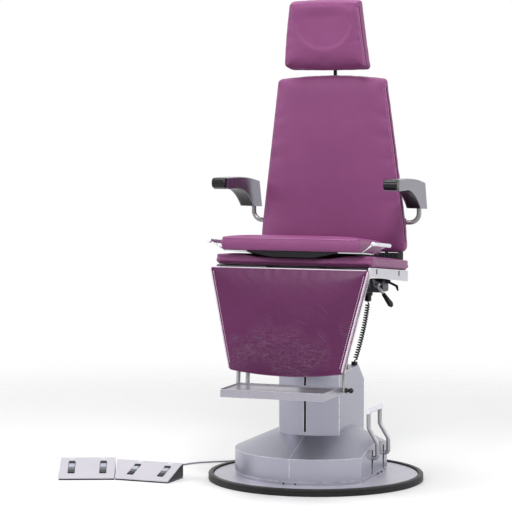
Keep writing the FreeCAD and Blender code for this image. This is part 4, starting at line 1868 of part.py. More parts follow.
def build():
    """Every piece by its node's name."""
    cover_left, cover_right = base_covers()
    column_front, column_rear = column_covers()
    lever_rod, lever_grip = hand_lever()
    lever_frame, lever_bar = foot_lever()
    parts = {
        "base_disc": [base_disc()],
        "disc_rim": [disc_rim()],
        "base_plinth": [base_plinth()],
        "base_cover_left": [cover_left],
        "base_cover_right": [cover_right],
        "cover_screws": cover_screws(),
        "column_front_cover": [column_front],
        "column_rear_cover": [column_rear],
        "guide_tube": [guide_tube()],
        "lift_motor": [lift_motor()],
        "lever_bearings": lever_bearings(),
        "mains_inlet": [mains_inlet()],
        "cord_socket": [cord_socket()],
        "lift_tube": [lift_tube()],
        "lift_head": [lift_head()],
        "cord_clamp": [cord_clamp()],
        "curly_cord": [curly_cord()],
        "turntable": [turntable()],
        "junction_box": [junction_box()],
        "hand_lever_rod": [lever_rod],
        "hand_lever_grip": [lever_grip],
        "release_lever": [release_lever()],
        "seat_pan": [seat_pan()],
        "side_rails": [side_rail(side) for side in SIDES],
        "hinge_pins": hinge_pins(),
        "lower_cushion": [lower_cushion()],
        "gap_pleats": [gap_pleats()],
        "slide_dish": [slide_dish()],
        "upper_cushion": [upper_cushion()],
        "side_handles": [side_handle(side) for side in SIDES],
        "leg_cushion": [leg_cushion()],
        "leg_board": [leg_board()],
        "footrest_posts": [footrest_posts()],
        "foot_tray": [foot_tray()],
        "tray_knob": [tray_knob()],
        "back_cushion": [back_cushion()],
        "back_frame": [back_frame()],
        "back_shell": [back_shell()],
        "headrest_post": [headrest_post()],
        "headrest_cushion": [headrest_cushion()],
        "headrest_shell": [headrest_shell()],
        "foot_lever_frame": [lever_frame],
        "foot_lever_bar": [lever_bar],
        "control_cable": [control_cable()],
        "cable_glands": cable_glands(),
    }
    for side, name in zip(SIDES, ("left", "right")):
        parts["armrest_body_" + name] = [armrest_body(side)]
        parts["armrest_pads_" + name] = armrest_pads(side)
        parts["armrest_tube_" + name] = [armrest_tube(side)]
    windows = []
    feet = []
    number = 1
    for name, unit in (("left", CTRL_LEFT), ("right", CTRL_RIGHT)):
        spot, angle = unit[3:]
        parts["control_housing_" + name] = [turned(control_housing(unit), spot, angle)]
        feet.append(turned(control_foot(unit), spot, angle))
        windows += [turned(w, spot, angle) for w in control_windows(unit)]
        for share in CTRL_ROCKER_X_SHARES:
            parts["rocker_" + str(number)] = [turned(control_rocker(unit, share), spot, angle)]
            number += 1
    parts["control_feet"] = feet
    parts["control_windows"] = windows
    return parts


def main():
    os.makedirs("parts", exist_ok=True)
    parts = build()
    for name, shapes in parts.items():
        solids = [solid for shape in shapes for solid in shape.Solids]
        bad = [s for s in solids if not s.isValid() or s.Volume <= 0]
        if bad or not solids:
            print("check", name, len(solids), "solids,", len(bad), "bad")
        shape = solids[0] if len(solids) == 1 else Part.makeCompound(solids)
        shape.exportStep("parts/" + name + ".step")
    print(len(parts), "nodes")


main()
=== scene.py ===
import math

import bpy
import numpy as np
from mathutils import Matrix, Vector, noise
from mathutils.bvhtree import BVHTree


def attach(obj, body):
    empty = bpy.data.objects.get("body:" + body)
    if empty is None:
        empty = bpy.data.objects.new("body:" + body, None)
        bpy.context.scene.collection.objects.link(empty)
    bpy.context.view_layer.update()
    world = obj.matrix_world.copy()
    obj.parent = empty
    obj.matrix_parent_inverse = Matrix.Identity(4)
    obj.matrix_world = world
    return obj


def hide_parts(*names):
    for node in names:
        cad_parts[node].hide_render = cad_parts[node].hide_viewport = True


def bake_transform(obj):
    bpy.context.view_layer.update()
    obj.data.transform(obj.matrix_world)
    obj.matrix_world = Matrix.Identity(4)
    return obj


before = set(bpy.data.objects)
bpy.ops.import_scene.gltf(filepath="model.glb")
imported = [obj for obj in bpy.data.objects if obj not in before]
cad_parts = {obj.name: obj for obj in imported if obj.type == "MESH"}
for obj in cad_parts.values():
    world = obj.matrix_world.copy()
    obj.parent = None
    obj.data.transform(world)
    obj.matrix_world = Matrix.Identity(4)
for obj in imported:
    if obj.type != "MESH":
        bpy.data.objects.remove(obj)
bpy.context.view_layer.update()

# Finishes and soft pieces of an ophthalmic examination chair, in metres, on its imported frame.
# The chair faces -Y. Its seat, leg rest, backrest and headrest each have a leaning frame of their own.


def leaning(origin, degrees):
    """Frame of a tilting part: turned about X, then moved to its origin."""
    return Matrix.Translation(origin) @ Matrix.Rotation(math.radians(degrees), 4, "X")


UPRIGHT = Matrix(((1, 0, 0, 0), (0, 0, -1, 0), (0, 1, 0, 0), (0, 0, 0, 1)))
SEAT = leaning((0, -0.215, 0.7146), -5.0)
LEG_REST = leaning((0, -0.259, 0.683), -7.0) @ UPRIGHT
BACKREST = leaning((0, 0.159, 0.712), 1.1) @ UPRIGHT
HEADREST = leaning((0, 0.093, 1.296), 5.8) @ UPRIGHT


def linked(name, data):
    """A new object in the scene."""
    made = bpy.data.objects.new(name, data)
    bpy.context.scene.collection.objects.link(made)
    return made


# ---------------------------------------------------------------- shader nodes

def paint(red, green, blue):
    """A colour as a shader takes it, from its screen values of 0 to 255."""
    linear = []
    for value in (red, green, blue):
        c = value / 255
        linear.append(c / 12.92 if c <= 0.04045 else ((c + 0.055) / 1.055) ** 2.4)
    return (*linear, 1.0)


class Nodes:
    """The shader nodes of one tree, empty at first."""

    def __init__(self, tree):
        self.tree = tree
        tree.nodes.clear()

    def feed(self, socket, value):
        """Lead a wire or a fixed value into a socket."""
        if isinstance(value, bpy.types.NodeSocket):
            self.tree.links.new(value, socket)
        elif value is not None:
            socket.default_value = value

    def put(self, kind, inputs=None, **settings):
        """A new node with its settings, its input values and its incoming wires."""
        made = self.tree.nodes.new("ShaderNode" + kind)
        for label, value in settings.items():
            setattr(made, label, value)
        for label, value in (inputs or {}).items():
            self.feed(made.inputs[label], value)
        return made

    def maths(self, operation, *values):
        return self.put("Math", dict(enumerate(values)), operation=operation).outputs[0]

    def times(self, first, second):
        return self.maths("MULTIPLY", first, second)

    def scaled(self, value, scale, offset):
        return self.maths("MULTIPLY_ADD", value, scale, offset)

    def vectors(self, operation, first, second=None):
        return self.put("VectorMath", {0: first, 1: second}, operation=operation).outputs

    def upward(self, vector):
        return self.put("SeparateXYZ", {0: vector}).outputs["Z"]

    def noise(self, scale, detail=3.0, rough=0.5, distortion=0.0, place=None):
        inputs = {"Vector": place or self.place, "Scale": scale, "Detail": detail, "Roughness": rough,
                  "Distortion": distortion}
        return self.put("TexNoise", inputs).outputs["Fac"]

    def ranged(self, value, low, high, to_low=0.0, to_high=1.0, smooth=False):
        """A value that runs from low to high, laid on another range and kept inside it."""
        inputs = {"Value": value, "From Min": low, "From Max": high, "To Min": to_low, "To Max": to_high}
        way = "SMOOTHSTEP" if smooth else "LINEAR"
        return self.put("MapRange", inputs, interpolation_type=way).outputs[0]

    def spread(self, value, to_low, to_high):
        return self.ranged(value, 0.0, 1.0, to_low, to_high)

    def mixed(self, share, first, second):
        """Shader between the shaders of two nodes."""
        return self.put("MixShader", {0: share, 1: first.outputs[0], 2: second.outputs[0]}).outputs[0]


EFFECTS = {}


class Effect(Nodes):
    """A shader effect that materials share. It takes the place on the piece and one value of its own."""

    def __init__(self, name, extra, usual):
        super().__init__(bpy.data.node_groups.new(name, "ShaderNodeTree"))
        EFFECTS[name] = self.tree
        kind = "NodeSocketVector" if isinstance(usual, tuple) else "NodeSocketFloat"
        self.socket("Place", "INPUT", "NodeSocketVector")
        self.socket(extra, "INPUT", kind).default_value = usual
        given = self.tree.nodes.new("NodeGroupInput").outputs
        self.place, self.extra = given["Place"], given[extra]

    def socket(self, label, way, kind="NodeSocketFloat"):
        return self.tree.interface.new_socket(name=label, in_out=way, socket_type=kind)

    def give(self, **values):
        """The effect's outputs."""
        for label in values:
            self.socket(label, "OUTPUT")
        ends = self.tree.nodes.new("NodeGroupOutput").inputs
        for label, value in values.items():
            self.feed(ends[label], value)


class Surface(Nodes):
    """A material with one shader, its fixed values set on the shader's own sockets."""

    def __init__(self, name, **fixed):
        self.material = bpy.data.materials.new(name)
        self.material.use_nodes = True
        super().__init__(self.material.node_tree)
        self.shader = self.put("BsdfPrincipled")
        self.set_shader(**fixed)
        self.out = self.put("OutputMaterial", {"Surface": self.shader.outputs[0]})
        self.place = self.put("TexCoord").outputs["Object"]

    def use(self, name, **inputs):
        """One shared effect with this material's values."""
        return self.put("Group", {"Place": self.place, **inputs}, node_tree=EFFECTS[name]).outputs

    def blended(self, share, first, second):
        """Colour between two colours, each a wire, a shader colour or three screen values."""
        made = self.put("Mix", data_type="RGBA")
        sockets = [socket for socket in made.inputs if socket.enabled]
        for socket, value in zip(sockets, (share, first, second)):
            self.feed(socket, paint(*value) if isinstance(value, tuple) and len(value) == 3 else value)
        return [socket for socket in made.outputs if socket.enabled][0]

    def over(self, colour, mask, share, second):
        """A second colour laid over the first by a mask."""
        return self.blended(self.times(mask, share), colour, second)

    def bumped(self, height, distance, strength=1.0, below=None):
        inputs = {"Height": height, "Distance": distance, "Strength": strength, "Normal": below}
        return self.put("Bump", inputs).outputs[0]

    def edged(self, height, distance, strength, width):
        """Relief on a hard piece, whose edges shade as if rounded by a small width."""
        eased = self.put("Bevel", {"Radius": width}, samples=4).outputs[0]
        return self.bumped(height, distance, strength, eased)

    def creases(self, turn, stretch, width, seed):
        """Thin broken ridges that run one way over a sheet."""
        turned = self.put("Mapping", {"Vector": self.place, "Rotation": (0.0, math.radians(turn), 0.0),
                                      "Scale": stretch, "Location": (seed, 0.0, seed)}).outputs[0]
        off = self.maths("SUBTRACT", self.noise(1.0, 3.0, 0.55, 1.1, turned), 0.5)
        return self.ranged(self.maths("ABSOLUTE", off), 0.0, width, 1.0, 0.0, smooth=True)

    def set_shader(self, **values):
        for label, value in values.items():
            self.feed(self.shader.inputs[label.replace("_", " ")], value)

    def shade(self, colour, rough, normal, **more):
        """Wire the shader, and hand back the material."""
        self.set_shader(Base_Color=colour, Roughness=rough, Normal=normal, **more)
        return self.material


# ---------------------------------------------------------------- camera, light and floor

CAMERA_PLACE = (2.1514, -6.4268, 1.1511)
CAMERA_DROP, CAMERA_TURN = 3.76, 20.11
CAMERA_LENS, CAMERA_SENSOR = 151.55, 36.0
CHAIR_MIDDLE = (0.0, 0.0, 0.7)
LAMPS = {
    "left_box": ((-3.4, -1.0, 1.9), CHAIR_MIDDLE, 2.0, 48.0),
    "right_box": ((3.5, 0.5, 1.8), CHAIR_MIDDLE, 2.0, 48.0),
    "top_box": ((-0.3, 0.0, 4.0), CHAIR_MIDDLE, 2.2, 74.0),
    "key_box": ((1.1, -2.5, 3.2), (0.0, 0.0, 1.0), 0.9, 66.0),
    "front_box": ((-0.7, -4.2, 3.2), CHAIR_MIDDLE, 1.5, 46.0),
}
ROOM_LIGHT = 0.16
FLOOR_PLACE = (-0.15, 0.0, -0.0004)
FLOOR_RADIUS, FLOOR_RINGS, FLOOR_SPOKES = 5.0, 24, 72
FADE_START, FADE_END = 0.6, 3.4


def set_camera():
    camera = bpy.data.cameras.new("front_view")
    camera.lens = CAMERA_LENS
    camera.sensor_width = CAMERA_SENSOR
    camera.clip_end = 100.0
    eye = linked("front_view", camera)
    eye.location = CAMERA_PLACE
    eye.rotation_euler = (math.radians(90 - CAMERA_DROP), 0, math.radians(CAMERA_TURN))
    bpy.context.scene.camera = eye


def set_room():
    """White room for the eye and for reflections, and a softer even light for everything else."""
    world = bpy.data.worlds.new("pale_room")
    world.use_nodes = True
    room = Nodes(world.node_tree)
    ray = room.put("LightPath").outputs
    seen = room.maths("MAXIMUM", ray["Is Camera Ray"], ray["Is Glossy Ray"])
    seen = room.maths("MAXIMUM", seen, ray["Is Transmission Ray"])
    dim = room.put("Background", {"Color": (0.96, 0.97, 1.0, 1.0), "Strength": ROOM_LIGHT})
    white = room.put("Background", {"Color": (1.0, 1.0, 1.0, 1.0), "Strength": 1.0})
    room.put("OutputWorld", {"Surface": room.mixed(seen, dim, white)})
    bpy.context.scene.world = world


def set_lamps():
    """Large square lamps, each aimed at a point."""
    for name, (place, target, size, power) in LAMPS.items():
        lamp = bpy.data.lights.new(name, "AREA")
        lamp.shape = "SQUARE"
        lamp.size = size
        lamp.energy = power
        holder = linked(name, lamp)
        holder.location = place
        holder.rotation_euler = (Vector(target) - Vector(place)).to_track_quat("-Z", "Y").to_euler()


def floor_finish():
    """Pale floor with a faint haze, clear beyond a few metres."""
    ground = Surface("pale_floor", Roughness=0.55, Specular_IOR_Level=0.25)
    tone = ground.spread(ground.noise(1.7), 0.955, 0.985)
    shade = ground.put("CombineColor", dict.fromkeys(("Red", "Green", "Blue"), tone)).outputs[0]
    ground.set_shader(Base_Color=shade)
    reach = ground.vectors("LENGTH", ground.place)["Value"]
    fade = ground.ranged(reach, FADE_START, FADE_END, smooth=True)
    clear = ground.put("BsdfTransparent")
    ground.feed(ground.out.inputs["Surface"], ground.mixed(fade, ground.shader, clear))
    return ground.material


def set_floor():
    """Round pale floor that keeps the shadow near the chair and fades into the room."""
    verts = [(0.0, 0.0, 0.0)]
    for ring in range(1, FLOOR_RINGS + 1):
        radius = FLOOR_RADIUS * (ring / FLOOR_RINGS) ** 1.3
        turns = [2 * math.pi * k / FLOOR_SPOKES for k in range(FLOOR_SPOKES)]
        verts += [(radius * math.cos(turn), radius * math.sin(turn), 0.0) for turn in turns]
    faces = []
    for k in range(FLOOR_SPOKES):
        after = (k + 1) % FLOOR_SPOKES
        faces.append((0, 1 + k, 1 + after))
        for base in range(1, 1 + (FLOOR_RINGS - 1) * FLOOR_SPOKES, FLOOR_SPOKES):
            outer = base + FLOOR_SPOKES
            faces.append((base + k, outer + k, outer + after, base + after))
    mesh = bpy.data.meshes.new("floor")
    mesh.from_pydata(verts, [], faces)
    mesh.materials.append(floor_finish())
    floor = linked("floor", mesh)
    floor.location = FLOOR_PLACE


# ---------------------------------------------------------------- surface effects

def grain_effect():
    """Pebbled grain of coated upholstery: cells with soft valleys, and pores."""
    grain = Effect("hide_grain", "Cells", 900.0)
    bend = grain.put("TexNoise", {"Vector": grain.place, "Scale": 240.0, "Detail": 2.0}).outputs["Color"]
    shift = grain.put("VectorMath", {0: bend, "Scale": 0.0016}, operation="SCALE").outputs[0]
    moved = grain.vectors("ADD", grain.place, shift)[0]
    cells = grain.put("TexVoronoi", {"Vector": moved, "Scale": grain.extra}, feature="DISTANCE_TO_EDGE")
    dome = grain.ranged(cells.outputs["Distance"], 0.0, 0.28, smooth=True)
    pores = grain.noise(2600.0, 2.0)
    grain.give(Height=grain.scaled(pores, 0.35, dome), Tone=grain.spread(dome, 0.86, 1.0))


def mottle_effect():
    """Slow changes of tone and gloss, as hands and cleaning leave them."""
    marks = Effect("handling_marks", "Size", 6.0)
    slow = marks.noise(marks.extra, 4.0, 0.55, 0.4)
    small = marks.noise(marks.times(marks.extra, 9.0))
    both = marks.scaled(small, 0.3, slow)
    marks.give(Tone=marks.ranged(both, 0.35, 0.95), Gloss=marks.ranged(both, 0.45, 0.85, smooth=True))


def edge_wear_and_highlight_effect():
    """Mask of edges, for rubbed wear and for painted edge highlights: where a rounded edge turns away from
    the flat face, broken up by noise.
    """
    rub = Effect("rubbed_and_highlit_edges", "Width", 0.0012)
    eased = rub.put("Bevel", {"Radius": rub.extra}, samples=6).outputs[0]
    flat = rub.put("NewGeometry").outputs["Normal"]
    edge = rub.ranged(rub.vectors("DOT_PRODUCT", eased, flat)["Value"], 0.90, 0.994, 1.0, 0.0, smooth=True)
    break_up = rub.ranged(rub.noise(60.0, 4.0), 0.35, 0.6, 0.35)
    rub.give(Mask=rub.times(edge, break_up))


def peel_effect():
    """Sprayed paint: fine orange peel and glinting flakes."""
    coat = Effect("sprayed_coat", "Flake", 5200.0)
    flake = coat.put("TexVoronoi", {"Vector": coat.place, "Scale": coat.extra}).outputs["Color"]
    glint = coat.put("SeparateColor", {0: flake}).outputs[0]
    coat.give(Height=coat.noise(620.0, 2.0, 0.4), Glint=coat.spread(glint, -1.0, 1.0))


def brush_effect():
    """Fine parallel lines of brushed or drawn metal along one axis."""
    drawn = Effect("brushed_lines", "Stretch", (9.0, 900.0, 900.0))
    lines = drawn.noise(1.0, 4.0, 0.7, place=drawn.vectors("MULTIPLY", drawn.place, drawn.extra)[0])
    drawn.give(Height=lines, Tone=drawn.ranged(lines, 0.3, 0.7))


def dust_effect():
    """Thin dust on level faces, thicker towards the floor."""
    dust = Effect("settled_dust", "Height", 0.5)
    level = dust.ranged(dust.upward(dust.put("NewGeometry").outputs["Normal"]), 0.55, 1.0, smooth=True)
    low = dust.ranged(dust.upward(dust.place), 0.0, dust.extra, 1.0, 0.0)
    specks = dust.ranged(dust.noise(90.0, 5.0, 0.65), 0.35, 0.75)
    dust.give(Mask=dust.times(dust.times(level, low), specks))


def ready_effects():
    for make in (grain_effect, mottle_effect, edge_wear_and_highlight_effect, peel_effect, brush_effect, dust_effect):
        make()


# ---------------------------------------------------------------- finishes

VINYL_CELLS = 820.0
GLOSS_SPREAD = 0.12
SKIN_SCALE = 1500.0


def vinyl(name, light, deep, gloss, folds=0.0):
    """Coated upholstery: grain, slow tone changes and soft folds."""
    cover = Surface(name, Specular_IOR_Level=0.26, Sheen_Weight=0.01, Sheen_Roughness=0.4)
    grain = cover.use("hide_grain", Cells=VINYL_CELLS)
    marks = cover.use("handling_marks", Size=5.0)
    colour = cover.blended(marks["Tone"], deep, light)
    colour = cover.blended(grain["Tone"], (62, 18, 50), colour)
    folded = cover.bumped(cover.noise(21.0, 3.0, 0.5, 1.2), folds) if folds else None
    rough = cover.spread(marks["Gloss"], gloss, gloss + GLOSS_SPREAD)
    return cover.shade(colour, rough, cover.bumped(grain["Height"], 0.00016, 0.8, folded))


def filmed_vinyl(name, light, deep):
    """Leg rest cover under a clear film, creased in patches over its lower half; its base is a darker copy
    of the purple vinyl, painted shade, and its creases are painted paler as highlights.
    """
    sheet = Surface(name, Specular_IOR_Level=0.2, Coat_Roughness=0.17, Coat_IOR=1.4)
    low = sheet.ranged(sheet.upward(sheet.place), 0.56, 0.43, 0.06, smooth=True)
    patch = sheet.ranged(sheet.noise(9.0, 2.0), 0.42, 0.60, smooth=True)
    right = sheet.creases(32.0, (17.0, 4.0, 62.0), 0.028, 3.0)
    left = sheet.creases(-48.0, (21.0, 4.0, 74.0), 0.026, 11.0)
    upright = sheet.times(sheet.creases(82.0, (12.0, 4.0, 58.0), 0.02, 23.0), 0.6)
    both = sheet.maths("MAXIMUM", sheet.maths("MAXIMUM", right, left), upright)
    height = sheet.times(sheet.times(both, patch), low)
    grain = sheet.use("hide_grain", Cells=VINYL_CELLS)
    marks = sheet.use("handling_marks", Size=7.0)
    colour = sheet.blended(marks["Tone"], deep, light)
    # Paler purple along the creases: a painted highlight.
    colour = sheet.over(colour, height, 0.10, (196, 158, 190))
    colour = sheet.blended(grain["Tone"], (52, 18, 44), colour)
    sagged = sheet.bumped(sheet.noise(15.0, 2.0, 0.5, 0.8), 0.004, 0.5)
    folded = sheet.bumped(height, 0.0009, 0.8, sagged)
    grained = sheet.bumped(grain["Height"], 0.0001, 0.4, folded)
    rough = sheet.spread(marks["Gloss"], 0.3, 0.3 + GLOSS_SPREAD)
    return sheet.shade(colour, rough, grained, Coat_Weight=sheet.spread(height, 0.3, 0.8))


def clear_film_and_highlight(name):
    """Clear film folded round the leg rest's sides: mostly see-through, milky where it doubles, and whitish
    as a painted highlight of the lit side band.
    """
    film = Surface(name, Specular_IOR_Level=0.6)
    doubled = film.creases(8.0, (160.0, 60.0, 14.0), 0.09, 5.0)
    cloud = film.ranged(film.noise(16.0, 2.0), 0.3, 0.7, 0.42, 0.56, smooth=True)
    colour = film.blended(doubled, (222, 212, 222), (236, 230, 238))
    return film.shade(colour, 0.12, film.bumped(doubled, 0.0004, 0.5),
                      Alpha=film.scaled(doubled, 0.14, cloud))


def sprayed(name, light, deep, metallic, gloss, dusty):
    """Metallic spray paint with orange peel, flakes, handling marks and dust, and near-white edges that are
    partly rubbed wear and partly painted highlight.
    """
    coat = Surface(name, Specular_IOR_Level=0.4, Coat_Roughness=0.22, Coat_Weight=0.1)
    spray = coat.use("sprayed_coat", Flake=3600.0)
    marks = coat.use("handling_marks", Size=3.2)
    rub = coat.use("rubbed_and_highlit_edges", Width=0.0034)
    dust = coat.use("settled_dust", Height=0.7)
    colour = coat.blended(marks["Tone"], deep, light)
    colour = coat.blended(coat.scaled(spray["Glint"], 0.04, 0.04), colour, (236, 236, 244))
    # Near-white along the edge mask: partly rubbed wear, partly a painted highlight on the edges.
    colour = coat.over(colour, rub["Mask"], 0.9, (250, 250, 254))
    colour = coat.over(colour, dust["Mask"], dusty * 0.4, (206, 204, 202))
    rough = coat.scaled(dust["Mask"], 0.2, coat.scaled(marks["Gloss"], 0.1, gloss))
    return coat.shade(colour, rough, coat.edged(spray["Height"], 0.00008, 0.6, 0.0007),
                      Metallic=coat.scaled(spray["Glint"], metallic * 0.2, metallic))


def metal(name, light, deep, gloss, stretch, lines=0.00006, edge=0.0005):
    """Bare or plated metal with drawn lines, smudges, and bright edges that are partly rubbed wear and
    partly painted highlight.
    """
    bare = Surface(name, Specular_IOR_Level=0.5)
    drawn = bare.use("brushed_lines", Stretch=stretch)
    marks = bare.use("handling_marks", Size=14.0)
    rub = bare.use("rubbed_and_highlit_edges", Width=0.001)
    tone = bare.scaled(drawn["Tone"], 0.4, bare.times(marks["Tone"], 0.6))
    # Pale along the edge mask: partly rubbed wear, partly a painted edge highlight.
    colour = bare.over(bare.blended(tone, deep, light), rub["Mask"], 0.5, (240, 240, 244))
    rough = bare.scaled(marks["Gloss"], 0.08, gloss)
    return bare.shade(colour, rough, bare.edged(drawn["Height"], lines, 0.6, edge),
                      Metallic=bare.spread(marks["Gloss"], 0.86, 0.96))


def spangled(name, light, deep):
    """Tray steel with a cloudy mottle, dust, and bright edges that are partly rubbed wear and partly painted
    highlight.
    """
    steel = Surface(name, Specular_IOR_Level=0.5)
    cells = steel.put("TexVoronoi", {"Vector": steel.place, "Scale": 330.0}, feature="SMOOTH_F1")
    cloud = steel.ranged(steel.noise(620.0, 4.0, 0.75, 0.4), 0.32, 0.68)
    both = steel.scaled(steel.ranged(cells.outputs["Distance"], 0.1, 0.6), 0.4, steel.times(cloud, 0.6))
    rub = steel.use("rubbed_and_highlit_edges", Width=0.0016)
    dust = steel.use("settled_dust", Height=1.2)
    colour = steel.blended(both, deep, light)
    # Near-white along the edge mask: partly rubbed wear, partly a painted edge highlight.
    colour = steel.over(colour, rub["Mask"], 0.8, (244, 244, 248))
    colour = steel.over(colour, dust["Mask"], 0.18, (208, 206, 204))
    return steel.shade(colour, steel.spread(both, 0.42, 0.26), steel.edged(both, 0.00012, 0.6, 0.0012),
                       Metallic=steel.spread(both, 0.65, 0.9))


def moulded(name, light, deep, gloss, texture, dusty, edge=0.0005):
    """Moulded plastic or rubber: fine spark texture, handling marks, dust, and pale edges that are partly
    rubbed wear and partly painted highlight.
    """
    plastic = Surface(name, Specular_IOR_Level=0.3)
    marks = plastic.use("handling_marks", Size=9.0)
    rub = plastic.use("rubbed_and_highlit_edges", Width=0.0009)
    dust = plastic.use("settled_dust", Height=0.9)
    paler = (*(min(1.0, c * 1.5 + 0.06) for c in paint(*light)[:3]), 1.0)
    colour = plastic.blended(marks["Tone"], deep, light)
    # Paler along the edge mask: partly rubbed wear, partly a painted edge highlight.
    colour = plastic.over(colour, rub["Mask"], 0.3, paler)
    colour = plastic.over(colour, dust["Mask"], dusty * 0.35, (190, 187, 182))
    skin = plastic.edged(plastic.noise(SKIN_SCALE, 3.0, 0.6), texture, 0.5, edge)
    return plastic.shade(colour, plastic.spread(marks["Gloss"], gloss, gloss + GLOSS_SPREAD), skin)


ROCKER_BLACK = ((12, 14, 18), (18, 20, 26))
ROCKER_GREY = ((84, 88, 100), (98, 103, 115))
ROCKER_PALE = ((168, 172, 182), (182, 186, 196))
ROCKER_BANDS = ((-0.46, ROCKER_GREY), (0.04, ROCKER_PALE), (0.57, ROCKER_BLACK))
BAND_EDGE = 0.03


def banded_rocker(name, piece):
    """Rocker in bands along its own length: black at both ends, with grey and pale between."""
    corners = np.array([v.co for v in piece.data.vertices], float)
    middle = (corners.min(0) + corners.max(0)) / 2
    _, _, ways = np.linalg.svd(corners - corners.mean(0), full_matrices=False)
    way = ways[0] if ways[0][1] > 0 else -ways[0]
    half = np.abs((corners - middle) @ way).max()
    rocker = Surface(name + "_bands", Specular_IOR_Level=0.25)
    away = rocker.vectors("SUBTRACT", rocker.place, tuple(middle))[0]
    share = rocker.vectors("DOT_PRODUCT", away, tuple(way / half))["Value"]
    marks = rocker.use("handling_marks", Size=9.0)
    colour = rocker.blended(marks["Tone"], *ROCKER_BLACK)
    for start, tones in ROCKER_BANDS:
        band = rocker.blended(marks["Tone"], *tones)
        colour = rocker.blended(rocker.ranged(share, start, start + BAND_EDGE), colour, band)
    skin = rocker.edged(rocker.noise(SKIN_SCALE, 3.0, 0.6), 0.00006, 0.5, 0.0006)
    return rocker.shade(colour, rocker.spread(marks["Gloss"], 0.24, 0.24 + GLOSS_SPREAD), skin)


def thread(name, light, deep):
    """Twisted sewing thread."""
    yarn = Surface(name, Specular_IOR_Level=0.4, Sheen_Weight=0.3)
    twist = yarn.put("TexWave", {"Vector": yarn.place, "Scale": 420.0, "Distortion": 1.5}).outputs["Fac"]
    colour = yarn.blended(yarn.ranged(twist, 0.2, 0.8), deep, light)
    return yarn.shade(colour, yarn.spread(twist, 0.7, 0.55), yarn.bumped(twist, 0.0001, 0.6))


FINISH = {}


def ready_finishes():
    """Each finish under its short name: light and deep screen colours, then its own values."""
    FINISH.update(
        vinyl=vinyl("purple_vinyl", (146, 78, 128), (136, 70, 119), 0.36),
        soft_vinyl=vinyl("purple_vinyl_seat", (148, 80, 130), (136, 70, 119), 0.3, folds=0.0006),
        # A darker copy of the purple vinyl: painted shade on the leg rest under the seat.
        filmed=filmed_vinyl("purple_vinyl_filmed_shade", (99, 36, 85), (90, 31, 77)),
        # Paler than the leg rest's cover: painted highlight along the film's creases.
        crease=vinyl("film_crease_highlight", (128, 76, 117), (116, 62, 104), 0.12),
        seam_dark=vinyl("seam_shadow", (70, 26, 58), (58, 20, 48), 0.5),
        film=clear_film_and_highlight("clear_film_and_highlight"),
        thread=thread("pale_thread", (236, 222, 234), (196, 170, 192)),
        dull_thread=thread("purple_thread", (196, 146, 184), (160, 108, 148)),
        # Pale purple piping: a painted highlight along the seams' edges.
        light_piping=vinyl("piping_highlight_vinyl", (196, 134, 180), (178, 114, 162), 0.28),
        # Near-white welt: a painted highlight where the film's rolled edge shines.
        welt=moulded("pale_welt_highlight", (244, 232, 243), (222, 200, 219), 0.3, 0.00004, 0.0),
        silver=sprayed("silver_paint", (163, 163, 178), (156, 156, 171), 0.62, 0.28, 0.2),
        disc=sprayed("disc_paint", (192, 189, 201), (184, 181, 193), 0.3, 0.3, 0.5),
        rail=sprayed("pale_paint", (208, 205, 213), (201, 198, 206), 0.15, 0.34, 0.1),
        frame=moulded("black_frame_paint", (34, 35, 39), (25, 26, 29), 0.5, 0.0002, 0.3),
        shell=moulded("rear_shell_plastic", (150, 150, 162), (140, 140, 152), 0.38, 0.00012, 0.3),
        steel=metal("drawn_steel", (226, 224, 228), (200, 198, 202), 0.3, (900.0, 900.0, 12.0)),
        lever=metal("satin_steel", (172, 170, 174), (150, 148, 152), 0.34, (700.0, 700.0, 14.0)),
        chrome=metal("side_chrome", (232, 232, 238), (214, 214, 220), 0.08, (400.0, 20.0, 400.0), 0.00002),
        bar=metal("bright_bar", (232, 232, 240), (214, 214, 224), 0.18, (500.0, 14.0, 500.0)),
        tube=metal("armrest_tube_steel", (150, 147, 150), (128, 125, 128), 0.3, (500.0, 500.0, 16.0)),
        arm=metal("polished_grey_metal", (124, 122, 134), (112, 110, 122), 0.17, (260.0, 30.0, 260.0),
                  0.00001, 0.0022),
        tray=spangled("tray_steel", (182, 179, 190), (142, 139, 150)),
        rubber=moulded("black_rubber", (17, 18, 20), (12, 13, 15), 0.45, 0.0002, 0.4),
        gloss_black=moulded("glossy_black", (22, 21, 25), (15, 14, 18), 0.12, 0.00003, 0.0, 0.001),
        black=moulded("black_plastic", (20, 20, 24), (14, 14, 17), 0.32, 0.0001, 0.1),
        junction=moulded("dark_grey_plastic", (84, 88, 97), (72, 76, 85), 0.42, 0.00012, 0.0),
        housing=moulded("light_grey_plastic", (202, 199, 208), (193, 190, 199), 0.3, 0.00006, 0.1, 0.0008),
        pale=moulded("white_plastic", (226, 226, 228), (214, 214, 217), 0.28, 0.00004, 0.1),
        cable=moulded("grey_cable", (150, 150, 156), (134, 134, 140), 0.42, 0.00012, 0.3),
        curly=moulded("black_cord", (13, 13, 16), (9, 9, 11), 0.42, 0.00008, 0.0),
        cheek=moulded("dark_cheek", (34, 36, 41), (24, 26, 30), 0.36, 0.0001, 0.3),
    )


